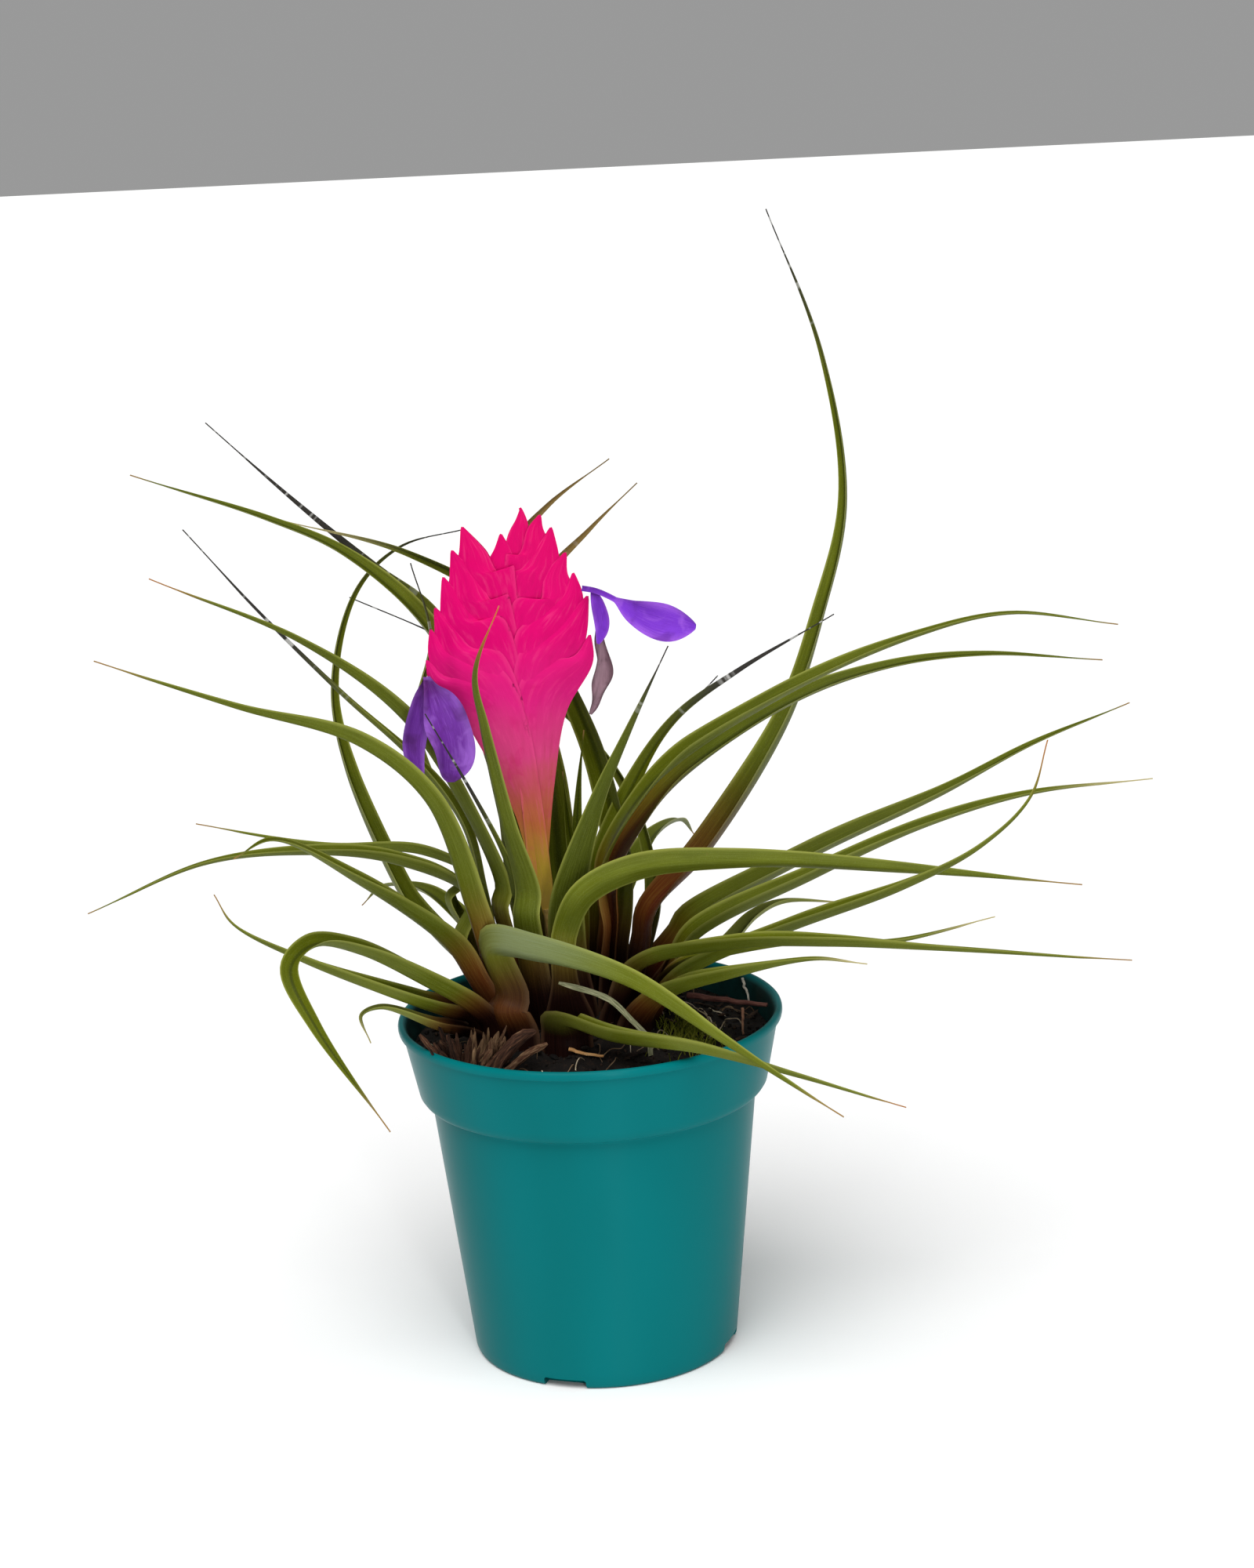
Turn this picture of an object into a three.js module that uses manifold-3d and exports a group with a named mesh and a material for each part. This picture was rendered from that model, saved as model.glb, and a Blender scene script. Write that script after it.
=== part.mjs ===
// A pink quill (a rosette plant with a flat pink flower head) growing in a small nursery pot.
// Millimetres, +Z up. The origin is the centre of the pot's flat base, and -Y is the plant's front.
import * as THREE from "three";
import { mergeVertices } from "three/addons/utils/BufferGeometryUtils.js";
import Module from "manifold-3d";

const wasm = await Module();
wasm.setup();

// Driving dimensions of the pot
const RIM_RADIUS = 50;
const POT_HEIGHT = 91;
const BASE_RADIUS = 34.7;
const COLLAR_BOTTOM = 70.4; // height where the deep collar steps in to the body
const COLLAR_FOOT_RADIUS = 45.2;
const BODY_TOP_RADIUS = 42.5;
const WALL = 1.3;
const FLOOR = 1.6;
const POT_SIDES = 48;
const NOTCHES = { count: 4, first: 251.5, width: 11.4, height: 2.5 };
const DRAINS = { count: 4, radius: 3, circle: 17, sides: 14 };

// Driving dimensions of the soil and the crown
const GAP = 0.3; // clearance between pieces that touch
const SLIVER = 0.02; // edges shorter than this are closed up after a join or a cut
const TOUCH = 0.001; // cubic millimetres shared by two pieces that count as touching
const SOIL_EDGE = 83.5; // height of the soil at the pot wall
const SOIL_MOUND = 8; // how far the soil rises towards the crown
const SOIL_ROUGHNESS = 0.9;
const SOIL_SIDES = 32;
const SMALL_HOLE = 5; // radius of the hole that a small piece stands in
const SHEATH_HOLE_RADIUS = 28.6; // the wider upper part of the hole, which the sheaths flare in
const CROWN = { x: -5, y: 0, radius: 20.5, bottom: 76, top: 86 };

// Driving dimensions of a leaf
const LEAF_STEPS = 13;
const LEAF_EASE = 1.35; // above 1, the steps are closer together near the sheath
const LEAF_THICKNESS = 0.7;
const SHEATH_PITCH = 1.2; // radial step from one sheath to the one that wraps it
const SHEATH_FIRST_RADIUS = 4.4;
const SHEATH_LENGTH = 16; // length over which a sheath narrows to the blade's width
const SHEATH_WIDTH = 1.1; // sheath width over blade width
// Heights where each leaf is laid against the ones inside it, each with the step it keeps there
const LAY_PLANES = [[93, 1.25], [99, 1.5], [106, 1.8], [114, 2], [123, 2]];
const WRAP = [20, 44]; // distances from the crown's axis between which a wrap becomes a channel
const BLADE_FOLD = 36; // degrees that each half of the channel rises from flat
const TIP_FOLD = 18;
const CORNER = 1.4; // most that a fold's outer corner stands off its curve, in thicknesses
const FINE = 0.9; // narrowest width of a tip
const THINNEST = 0.6; // thickness of tips, petals and bracts

// Driving dimensions of the flower head, which is a flat paddle of bracts in two ranks
const HEAD_Y = -1;
const HEAD_AXIS = [[-9.8, 115.2], [-10.8, 127.3], [-11.5, 139.8], [-12.9, 162.6], [-14.1, 183.1],
  [-13.6, 203.2], [-10.9, 222.9]];
const LEFT_TIPS = [[-36.4, 185.8], [-34.9, 193.6], [-33.4, 199.1], [-30.9, 206.8], [-28.3, 213.5],
  [-25.4, 219.3], [-15.8, 217]];
const RIGHT_TIPS = [[4.9, 190.2], [4.8, 200.2], [1.5, 206.2], [-0.2, 211.5], [-3.5, 218], [-6.1, 221.3],
  [-10.9, 223.3]];
const BRACT_START = [116.5, 192]; // heights on the axis where the lowest and the highest bracts start
const BRACT_OPENING = [13, 8]; // degrees that each side of the lowest and highest bracts opens
const BRACT_TIP_FOLD = 42;
const BRACT_REACH = 17; // widest side of a bract, from its keel towards the axis
const BRACT_HOLLOW = [5, -3]; // how far the lowest and highest keels bow in towards the axis
const BRACT_INSET = [0.8, 2.8]; // how far inside the tip below them the other keels pass
const BRACT_STEPS = 6;
const BRACT_POINT = 0.8; // how fast a bract's side widens below its tip
const SCAPE = { bottom: 2.2, top: 1.9 };

// Colours and finishes
const FINISH = {
  pot: { color: 0x027375, roughness: 0.34 },
  soil: { color: 0x1d1612, roughness: 0.95 },
  crown: { color: 0x4a2a20, roughness: 0.8 },
  leaf: { color: 0x4f6a16, roughness: 0.5 },
  dryLeaf: { color: 0xa9a68a, roughness: 0.7 },
  scape: { color: 0x9c8a3c, roughness: 0.55 },
  quill: { color: 0xe4007c, roughness: 0.5 },
  petal: { color: 0x6a2fa8, roughness: 0.55 },
  withered: { color: 0x6f5560, roughness: 0.8 },
  bark: { color: 0x6b4a33, roughness: 0.9 },
  twig: { color: 0xb89468, roughness: 0.8 },
  stick: { color: 0x5d3630, roughness: 0.8 },
  rootThread: { color: 0xcfc8b8, roughness: 0.8 },
};

// The leaves from the innermost outwards, since each sheath wraps the ones before it. Each row is
// the blade's flat width and its midrib's points from the shoulder, above the sheath, to the tip.
const LEAVES = [
  [10, [-1, 5, 123], [-3, 6, 138], [-4, 8, 153]],
  [7, [-2, 9, 124], [0, 12, 148], [2, 15, 162]],
  [11, [-7, 18, 147], [-11, 25, 178], [-7, 31, 198], [6, 36, 211], [19, 40, 222]],
  [13, [6, 1, 131], [18, -1, 150], [49, -4, 171], [86, -7, 187], [110, -8, 192], [137, -9, 188]],
  [12.5, [-20, 12, 152], [-38, 27, 189], [-58, 33, 208], [-78, 35, 218], [-113, 37, 231]],
  [12, [9, 6, 130], [23, 8, 147], [54, 10, 167], [81, 10, 176], [106, 10, 178], [136, 10, 175]],
  [11, [-4, -13, 124], [4, -22, 150], [13, -31, 171], [24, -38, 194]],
  [12.5, [-17, 18, 144], [-36, 38, 189], [-51, 42, 202], [-71, 46, 220], [-94, 50, 242]],
  [11, [6, 14, 128], [14, 17, 146], [26, 22, 162], [43, 27, 173], [69, 32, 186]],
  [6, [-18, -14, 134], [-26, -22, 156], [-36, -28, 178]],
  [11, [-14, 27, 144], [-20, 34, 178], [-15, 43, 205], [-5, 47, 216], [12, 52, 227]],
  [13, [-21, -7, 127], [-33, -5, 156], [-45, -4, 174], [-68, -8, 194], [-103, -12, 212]],
  [9.5, [-14, -17, 128], [-18, -24, 148], [-22, -31, 175], [-23, -35, 189], [-16, -39, 206]],
  [11, [-5, -20, 118], [0, -22, 128], [12, -23, 134], [39, -29, 137], [79, -36, 135], [122, -44, 131]],
  [11.5, [10, 16, 127], [3, 22, 160], [-13, 33, 189], [-42, 42, 206], [-74, 42, 216]],
  [9.5, [-30, 2, 142], [-42, 5, 159], [-59, 8, 176], [-78, 10, 197], [-97, 12, 220]],
  [7, [9, 20, 129], [21, 30, 154], [38, 37, 170]],
  [9.5, [-34, 13, 135], [-42, 17, 164], [-36, 14, 189], [-40, 15, 208]],
  [8.5, [-29, 2, 128], [-41, 8, 133], [-66, 19, 133], [-102, 27, 139]],
  [13, [-29, -18, 126], [-37, -24, 155], [-53, -23, 170], [-82, -28, 182], [-115, -32, 196]],
  [11, [-29, -4, 124], [-48, -6, 135], [-71, -12, 140], [-95, -14, 139], [-125, -16, 128]],
  [13, [17, 9, 114], [32, 16, 127], [55, 28, 158], [66, 38, 184], [74, 48, 213], [70, 60, 251], [57, 72, 289]],
  [9.5, [19, 20, 114], [15, 30, 136], [4, 38, 154], [-18, 46, 172], [-38, 54, 182], [-60, 58, 192]],
  [14.5, [-35, -16, 115], [-54, -36, 138], [-72, -58, 156], [-80, -70, 155]],
  [11.5, [13, -18, 107], [37, -32, 116], [60, -44, 119], [86, -52, 119], [131, -62, 117]],
  [13.5, [-21, -19, 102], [-24, -22, 115], [-13, -31, 116], [10, -42, 111], [32, -56, 100], [60, -76, 86]],
  [13, [28, 13, 109], [60, 16, 125], [94, 22, 138], [120, 26, 150], [146, 29, 159]],
  [10, [-49, 23, 119], [-61, 28, 151], [-64, 36, 173], [-57, 46, 196], [-45, 53, 206], [-28, 58, 209]],
  [12, [28, 2, 108], [59, 2, 123], [89, 4, 135], [117, 5, 142], [148, 6, 144]],
  [9.5, [20, -7, 101], [48, -13, 110], [76, -19, 111], [103, -24, 118]],
  [11, [28, -17, 106], [51, -30, 119], [78, -46, 133], [96, -58, 146], [107, -64, 159], [111, -66, 173]],
  [12, [-41, -24, 108], [-55, -38, 121], [-65, -50, 127], [-70, -60, 124], [-64, -70, 113], [-47, -82, 90]],
  [11, [-9, 30, 108], [-14, 62, 124], [-20, 96, 124], [-22, 124, 112]],
  [11, [-6, -29, 97], [6, -34, 94], [28, -50, 95], [50, -62, 92], [75, -74, 87]],
  [13, [20, -24, 101], [35, -38, 110], [56, -52, 118], [68, -58, 118]],
  [11, [7, 32, 106], [18, 64, 118], [27, 94, 116], [32, 120, 104]],
  [9.5, [24, 8, 97.5], [36, 16, 100], [45, 23, 107], [53, 29, 109], [71, 36, 106]],
  [9.5, [-28, 30, 100], [-44, 58, 108], [-58, 82, 104], [-66, 98, 94]],
  [12, [-36, -14, 96], [-49, -24, 105], [-71, -31, 118], [-86, -35, 129], [-90, -36, 137]],
  [7, [-38, -19, 94], [-52, -24, 102], [-57, -27, 101], [-55, -28, 94]],
];

const DRY_LEAF_WIDTH = 3.4;
const DRY_LEAF = [[15, -30, 88], [14.5, -30, 92.5], [10.5, -30, 97.5], [5, -29, 103], [-7, -30, 108]];

// Loose pieces in the pot
const FAN = { x: -31, y: -25, bottom: 82.5, top: 96, hole: 8, slivers: 8, seed: 5 };
const CURL = [[-24, -32, 85.2], [-22, -31.6, 88.5], [-18, -30.6, 92.6], [-13.5, -29.6, 96]];
const TWIG = [[-5.4, -27.5, 89.6], [-1, -28.6, 88.6], [3.3, -29.4, 88.3]];
const STICK = [[26, 15, 88.6], [36, 8, 89], [46, 0.8, 89.4]];
const ROOT_THREAD = [[40.8, 20, 91], [41.2, 19.6, 88.6], [42.3, 18.2, 85.4]];
const STRAW = [[39.4, -10, 92.6], [39.2, -10, 85.4]];

// Flowers: the direction across their petals, then each petal's width, fold, the share of it that
// is a thin claw, and its midrib's points
const FLOWER_LEFT = {
  side: [0.9, 0.4, 0],
  petals: [
    [6.5, 20, 0, [-36.9, -3.4, 181], [-38.8, -8, 174.5], [-40.7, -10, 165], [-39.4, -11, 155.5]],
    [13, 14, 0, [-36.7, -3.6, 182], [-33.2, -9, 176], [-30.2, -13, 166], [-31.5, -14, 157]],
  ],
};
const FLOWER_RIGHT = {
  side: [0.25, 0.1, 1],
  petals: [
    [9.5, 16, 0.22, [3.6, -2.9, 202.6], [7, -4, 202], [11, -6, 200.4], [17, -8, 196.8], [24, -10, 194.2],
      [31.5, -12, 193.2]],
    [4.5, 20, 0, [6.2, -3, 202.4], [7.8, -4.6, 198], [8.4, -5.2, 193], [7, -5, 188.6]],
  ],
};
const FLOWER_WITHERED = {
  side: [0.9, 0.4, 0],
  petals: [
    [5, 30, 0, [6.8, 1.8, 191.6], [7.4, 2.4, 184], [6.6, 2.6, 176], [4, 2.6, 168.9]],
  ],
};

// Small repeatable random numbers
function randomSource(seed) {
  let state = seed;
  return () => {
    state = (state * 1664525 + 1013904223) % 4294967296;
    return state / 4294967296;
  };
}

const radians = THREE.MathUtils.degToRad;
const lerp = THREE.MathUtils.lerp;
const smooth = THREE.MathUtils.smoothstep;
const vector = (x, y, z) => new THREE.Vector3(x, y, z);

function curveThrough(points) {
  return new THREE.CatmullRomCurve3(points, false, "centripetal");
}

// Triangles that close the end of a skin: a fan over a convex ring, or two strips over a folded one
const fanOver = (count) => Array.from({ length: count - 2 }, (_, i) => [0, i + 1, i + 2]);
const FOLDED_END = [[0, 1, 5], [1, 4, 5], [1, 2, 4], [2, 3, 4]];

// A closed skin over rings of equal point count
function skin(rings, end = fanOver(rings[0].length)) {
  const count = rings[0].length;
  const last = (rings.length - 1) * count;
  const indices = [];
  for (let r = 0; r + 1 < rings.length; r++) {
    for (let i = 0; i < count; i++) {
      const a = r * count + i;
      const b = r * count + ((i + 1) % count);
      indices.push(a, b, b + count, a, b + count, a + count);
    }
  }
  for (const [a, b, c] of end) indices.push(a, c, b, last + a, last + b, last + c);
  const geometry = new THREE.BufferGeometry();
  const positions = rings.flat().flatMap((p) => [p.x, p.y, p.z]);
  geometry.setAttribute("position", new THREE.Float32BufferAttribute(positions, 3));
  geometry.setIndex(indices);
  return geometry;
}

// Points along a curve, each with its tangent and a side direction carried along without twisting.
function frames(curve, steps, side, ease = 1) {
  const places = Array.from({ length: steps + 1 }, (_, i) => Math.pow(i / steps, ease));
  const points = places.map((t) => curve.getPointAt(t));
  let across = side.clone();
  return points.map((point, i) => {
    const before = points[Math.max(i - 1, 0)];
    const after = points[Math.min(i + 1, steps)];
    const tangent = after.clone().sub(before).normalize();
    across = across.addScaledVector(tangent, -across.dot(tangent)).normalize();
    const normal = tangent.clone().cross(across);
    return { t: places[i], point, side: across.clone(), normal };
  });
}

// One ring of a folded blade: a V of two flat halves, with an even thickness. A steep fold is
// lifted, so that its long outer corner stays on the curve.
function foldedRing({ point, side, normal }, halfWidth, fold, thickness) {
  const [c, s] = [Math.cos(fold), Math.sin(fold)];
  const lift = Math.max(thickness / c - CORNER * thickness, 0);
  const at = (a, b) => point.clone().addScaledVector(side, a).addScaledVector(normal, b + lift);
  return [
    at(halfWidth * c, halfWidth * s),
    at(0, 0),
    at(-halfWidth * c, halfWidth * s),
    at(-halfWidth * c - thickness * s, halfWidth * s - thickness * c),
    at(0, -thickness / c),
    at(halfWidth * c + thickness * s, halfWidth * s - thickness * c),
  ];
}

// A folded blade along a curve. width, fold and thickness are functions of the part of its length.
function blade(curve, steps, side, { width, fold, thickness, ease = 1, clearance = 0 }) {
  return skin(
    frames(curve, steps, side, ease).map((frame) => {
      frame.point.addScaledVector(frame.normal, clearance);
      const depth = thickness(frame.t) + 2 * clearance;
      return foldedRing(frame, width(frame.t) / 2, radians(fold(frame.t)), depth);
    }),
    FOLDED_END,
  );
}

// A round rod along a curve, thinner towards its far end.
function rod(points, startRadius, endRadius, steps, sides) {
  const curve = curveThrough(points);
  const side = points[1].clone().sub(points[0]).cross(vector(0.3, 1, 0.2)).normalize();
  return skin(
    frames(curve, steps, side).map(({ t, point, side: across, normal }) => {
      const radius = lerp(startRadius, endRadius, t);
      return Array.from({ length: sides }, (_, k) => {
        const angle = (2 * Math.PI * k) / sides;
        return point
          .clone()
          .addScaledVector(across, radius * Math.cos(angle))
          .addScaledVector(normal, radius * Math.sin(angle));
      });
    }),
  );
}

// Conversions to and from solids for joins and cuts
function solid(geometry) {
  const bare = new THREE.BufferGeometry();
  bare.setAttribute("position", geometry.getAttribute("position"));
  if (geometry.index) bare.setIndex(geometry.index);
  const merged = mergeVertices(bare, 1e-4);
  return new wasm.Manifold(
    new wasm.Mesh({
      numProp: 3,
      vertProperties: new Float32Array(merged.getAttribute("position").array),
      triVerts: new Uint32Array(merged.index.array),
    }),
  );
}

const largestBody = (body) => body.decompose().sort((a, b) => b.volume() - a.volume())[0];

// Slivers and the tiny voids that a join leaves are closed up
function geometryOf(body) {
  const { numProp, vertProperties, triVerts } = largestBody(body.simplify(SLIVER)).getMesh();
  const positions = [];
  for (let i = 0; i < vertProperties.length; i += numProp) {
    positions.push(...vertProperties.subarray(i, i + 3));
  }
  const geometry = new THREE.BufferGeometry();
  geometry.setAttribute("position", new THREE.Float32BufferAttribute(positions, 3));
  geometry.setIndex([...triVerts]);
  return geometry;
}

function fuse(geometries) {
  return geometryOf(geometries.map(solid).reduce((whole, body) => whole.add(body)));
}

function piece(name, geometry, finish) {
  geometry.computeVertexNormals();
  const material = new THREE.MeshStandardMaterial({ ...finish, metalness: 0, flatShading: true });
  const mesh = new THREE.Mesh(geometry, material);
  mesh.name = name;
  return mesh;
}

// Pot: a turned shell, with notches at its foot and drain holes in its floor
const bodyRadius = (z) => lerp(BASE_RADIUS, BODY_TOP_RADIUS, z / COLLAR_BOTTOM);
const collarRadius = (z) =>
  lerp(COLLAR_FOOT_RADIUS, RIM_RADIUS - 0.6, (z - COLLAR_BOTTOM) / (POT_HEIGHT - COLLAR_BOTTOM));

function potGeometry() {
  const outer = [
    [0, 0],
    [BASE_RADIUS - 1.2, 0],
    [bodyRadius(1.2), 1.2],
    [bodyRadius(COLLAR_BOTTOM - 0.6), COLLAR_BOTTOM - 0.6],
    [COLLAR_FOOT_RADIUS - 1.6, COLLAR_BOTTOM],
    [COLLAR_FOOT_RADIUS - 0.2, COLLAR_BOTTOM + 1.2],
    [collarRadius(COLLAR_BOTTOM + 3), COLLAR_BOTTOM + 3],
    [collarRadius(POT_HEIGHT - 2.6), POT_HEIGHT - 2.6],
    [RIM_RADIUS, POT_HEIGHT - 1.6],
    [RIM_RADIUS, POT_HEIGHT - 0.5],
    [RIM_RADIUS - 0.6, POT_HEIGHT],
  ];
  const inner = [
    [RIM_RADIUS - 1.6, POT_HEIGHT],
    [innerRadius(POT_HEIGHT - 2), POT_HEIGHT - 2],
    [innerRadius(COLLAR_BOTTOM + 1.5), COLLAR_BOTTOM + 1.5],
    [innerRadius(COLLAR_BOTTOM - 0.5), COLLAR_BOTTOM - 0.5],
    [innerRadius(FLOOR), FLOOR],
    [0, FLOOR],
  ];
  const profile = [...outer, ...inner].map(([r, z]) => new THREE.Vector2(r, z));
  const shell = new THREE.LatheGeometry(profile, POT_SIDES).rotateX(Math.PI / 2);
  let pot = solid(shell);
  for (let i = 0; i < NOTCHES.count; i++) {
    const angle = radians(NOTCHES.first + (360 / NOTCHES.count) * i);
    const notch = new THREE.BoxGeometry(8, NOTCHES.width, 2 * NOTCHES.height);
    notch.rotateZ(angle);
    notch.translate(BASE_RADIUS * Math.cos(angle), BASE_RADIUS * Math.sin(angle), 0);
    pot = pot.subtract(solid(notch));
  }
  for (let i = 0; i < DRAINS.count; i++) {
    const angle = radians(45 + (360 / DRAINS.count) * i);
    const drain = new THREE.CylinderGeometry(DRAINS.radius, DRAINS.radius, 4 * FLOOR, DRAINS.sides);
    drain.rotateX(Math.PI / 2);
    drain.translate(DRAINS.circle * Math.cos(angle), DRAINS.circle * Math.sin(angle), 0);
    pot = pot.subtract(solid(drain));
  }
  return geometryOf(pot);
}

function innerRadius(z) {
  if (z < COLLAR_BOTTOM) return bodyRadius(z) - WALL;
  const step = smooth(z, COLLAR_BOTTOM, COLLAR_BOTTOM + 1.5);
  return lerp(bodyRadius(COLLAR_BOTTOM), collarRadius(z), step) - WALL;
}

// Soil: it fills the pot, mounds up round the crown, and has a plain hole that the crown stands in
function soilGeometry() {
  const random = randomSource(11);
  const topRings = [10, 18, 25, 32, 38.5, 44, innerRadius(SOIL_EDGE) - GAP];
  const wallHeights = [COLLAR_BOTTOM + 1.5, COLLAR_BOTTOM - 0.5, FLOOR + GAP];
  const ring = (radius, height) =>
    Array.from({ length: SOIL_SIDES }, (_, i) => {
      const angle = (2 * Math.PI * i) / SOIL_SIDES;
      return vector(radius * Math.cos(angle), radius * Math.sin(angle), height());
    });
  const top = topRings.map((radius) => {
    const mound = SOIL_EDGE + SOIL_MOUND * (1 - smooth(radius, 14, 42));
    return ring(radius, () => mound + SOIL_ROUGHNESS * (random() - 0.5) * 2);
  });
  const wall = wallHeights.map((z) => ring(innerRadius(z) - GAP, () => z));
  const body = solid(skin([...top, ...wall].reverse()));
  const holes = [
    [CROWN.radius + GAP, CROWN.bottom - GAP],
    [SHEATH_HOLE_RADIUS, CROWN.top],
    [FAN.hole, FAN.bottom - GAP, FAN.x, FAN.y],
    [SMALL_HOLE, CURL[0][2] - 2, CURL[0][0], CURL[0][1]],
    [SMALL_HOLE, DRY_LEAF[0][2] - 2, DRY_LEAF[0][0], DRY_LEAF[0][1]],
  ].map(([radius, bottom, x = CROWN.x, y = CROWN.y]) => {
    const hole = new THREE.CylinderGeometry(radius, radius, 40, 28).rotateX(Math.PI / 2);
    return solid(hole.translate(x, y, bottom + 20));
  });
  return geometryOf(holes.reduce((left, hole) => left.subtract(hole), body));
}

// Crown: the woody disc of the short stem, with every sheath standing on its flat top
function crownGeometry() {
  const { radius, bottom, top } = CROWN;
  const profile = [
    [0, bottom],
    [radius - 4, bottom],
    [radius, bottom + 4],
    [radius, top - 0.8],
    [radius - 0.8, top],
    [0, top],
  ].map(([r, z]) => new THREE.Vector2(r, z));
  return new THREE.LatheGeometry(profile, 28).rotateX(Math.PI / 2).translate(CROWN.x, CROWN.y, 0);
}

// How wide a leaf is at a part t of its length: full along its lower third, then a long fine tip
const leafTaper = (t) => Math.pow(Math.max(1 - Math.pow(t, 1.8), 0), 1.35);

const sheathWidth = (width, radius) => Math.min(width * SHEATH_WIDTH, radius * 1.9);
const turnBetween = (a, b) => Math.abs(Math.atan2(Math.sin(a - b), Math.cos(a - b)));

// The smallest radius at which a strip clears the ones inside it, all seen along the crown's axis.
// A strip's two halves are flat, so each sags inwards from the circle that its corners lie on.
function clearRadius(strip, inner, pitch) {
  let radius = strip.radius;
  for (const other of inner) {
    const reach = (0.5 * strip.width) / radius + (0.5 * other.width) / other.radius;
    if (turnBetween(strip.bearing, other.bearing) < reach + 0.1) {
      const sag = (strip.width * strip.width) / (32 * other.radius);
      radius = Math.max(radius, other.radius + pitch + sag);
    }
  }
  return radius;
}

// The strip that a leaf makes where it passes a height on its way up
function stripAt(curve, width, height) {
  const samples = curve.getSpacedPoints(60);
  const passing = samples.find((point) => point.z >= height);
  const [dx, dy] = [passing.x - CROWN.x, passing.y - CROWN.y];
  return { bearing: Math.atan2(dy, dx), radius: Math.hypot(dx, dy), width };
}

// The midrib of each leaf: it stands on the crown outside the sheaths it wraps, is laid against
// them at a few heights, and then runs free through its own points.
function layLeaves(leaves) {
  const layers = LAY_PLANES.map(() => []);
  const roots = [];
  return leaves.map(([width, ...points]) => {
    const shoulder = points[0];
    const bearing = Math.atan2(shoulder[1] - CROWN.y, shoulder[0] - CROWN.x);
    const root = { bearing, radius: SHEATH_FIRST_RADIUS, width: 0 };
    for (let pass = 0; pass < 3; pass++) {
      root.width = sheathWidth(width, root.radius);
      root.radius = clearRadius(root, roots, SHEATH_PITCH);
    }
    roots.push(root);
    const outward = vector(Math.cos(bearing), Math.sin(bearing), 0);
    const foot = vector(CROWN.x, CROWN.y, CROWN.top + 2 * GAP).addScaledVector(outward, root.radius);
    const free = points.map((p) => vector(...p));
    const natural = curveThrough([foot, foot.clone().add(vector(0, 0, 7)), ...free]);
    const guides = [foot.clone().add(vector(0, 0, 3))];
    LAY_PLANES.forEach(([height, pitch], k) => {
      if (height > shoulder[2] - 3) return;
      const strip = stripAt(natural, lerp(root.width, width, k / (LAY_PLANES.length - 1)), height);
      strip.radius = clearRadius(strip, layers[k], pitch);
      layers[k].push(strip);
      const { bearing: turn, radius } = strip;
      guides.push(vector(CROWN.x + radius * Math.cos(turn), CROWN.y + radius * Math.sin(turn), height));
    });
    return { width, root, curve: curveThrough([foot, ...guides, ...free]) };
  });
}

function leafGeometry({ width, root, curve }, clearance = 0) {
  const length = curve.getLength();
  const side = vector(-Math.sin(root.bearing), Math.cos(root.bearing), 0);
  const widthAt = (t) => {
    const opened = smooth(t * length, 0, SHEATH_LENGTH);
    return Math.max(lerp(root.width, width * leafTaper(t), opened), FINE) + 2 * clearance;
  };
  const foldAt = (t) => {
    const point = curve.getPointAt(t);
    const out = Math.hypot(point.x - CROWN.x, point.y - CROWN.y);
    const wrap = THREE.MathUtils.radToDeg(widthAt(t) / (4 * out));
    const channel = lerp(BLADE_FOLD, TIP_FOLD, smooth(t, 0.45, 1));
    return lerp(wrap, channel, smooth(out, ...WRAP));
  };
  return blade(curve, LEAF_STEPS, side, {
    width: widthAt,
    fold: foldAt,
    thickness: (t) => lerp(LEAF_THICKNESS, THINNEST, t),
    ease: LEAF_EASE,
    clearance,
  });
}

// Where a leaf would still press into one laid before it, it is cut back by the gap.
function fitLeaves(leaves) {
  const fitted = [];
  return leaves.map((leaf) => {
    let body = solid(leafGeometry(leaf));
    for (const inner of fitted) {
      if (body.intersect(inner.body).volume() > TOUCH) {
        body = largestBody(body.subtract(solid(leafGeometry(inner.leaf, GAP))));
      }
    }
    fitted.push({ leaf, body });
    return geometryOf(body);
  });
}

// Dry leaf: one small dead leaf at the front, with its foot in the soil
function dryLeafGeometry() {
  const curve = curveThrough(DRY_LEAF.map((p) => vector(...p)));
  return blade(curve, 8, vector(0, 1, 0), {
    width: (t) => Math.max(DRY_LEAF_WIDTH * leafTaper(t), FINE),
    fold: () => 24,
    thickness: () => THINNEST,
  });
}

// Flower head
const headAxis = curveThrough(HEAD_AXIS.map(([x, z]) => vector(x, HEAD_Y, z)));
const axisAt = (z) => {
  const samples = headAxis.getSpacedPoints(100);
  return samples.find((point) => point.z >= z) ?? samples.at(-1);
};

// A bract's keel: the lowest and highest bow out on their own, and each of the others follows the
// outline past the tips below it to its own tip. rank is -1 on the left and 1 on the right.
function bractKeel(tips, index, place, rank) {
  const stagger = rank * (0.12 + 0.19 * place); // no two keels lie in the same plane
  const start = axisAt(lerp(...BRACT_START, place)).clone().add(vector(0, stagger, 0));
  const at = ([x, z], inset) => vector(x - rank * inset, HEAD_Y + stagger, z);
  const tip = at(tips[index], 0);
  const inward = (end, part, hollow) => start.clone().lerp(end, part).add(vector(-rank * hollow, 0, 0));
  if (index === 0 || index === tips.length - 1) {
    const hollow = lerp(...BRACT_HOLLOW, Math.sqrt(place));
    const bow = [inward(tip, 0.45, hollow), inward(tip, 0.72, hollow), inward(tip, 0.9, -1.6)];
    return curveThrough([start, ...bow, tip]);
  }
  const inset = lerp(...BRACT_INSET, place);
  const last = at(tips[index - 1], inset);
  const low = index > 1 ? at(tips[index - 2], inset + 1.4) : inward(last, 0.7, 1.5);
  return curveThrough([start, inward(low, 0.5, 1.5), low, last, tip]);
}

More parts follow.
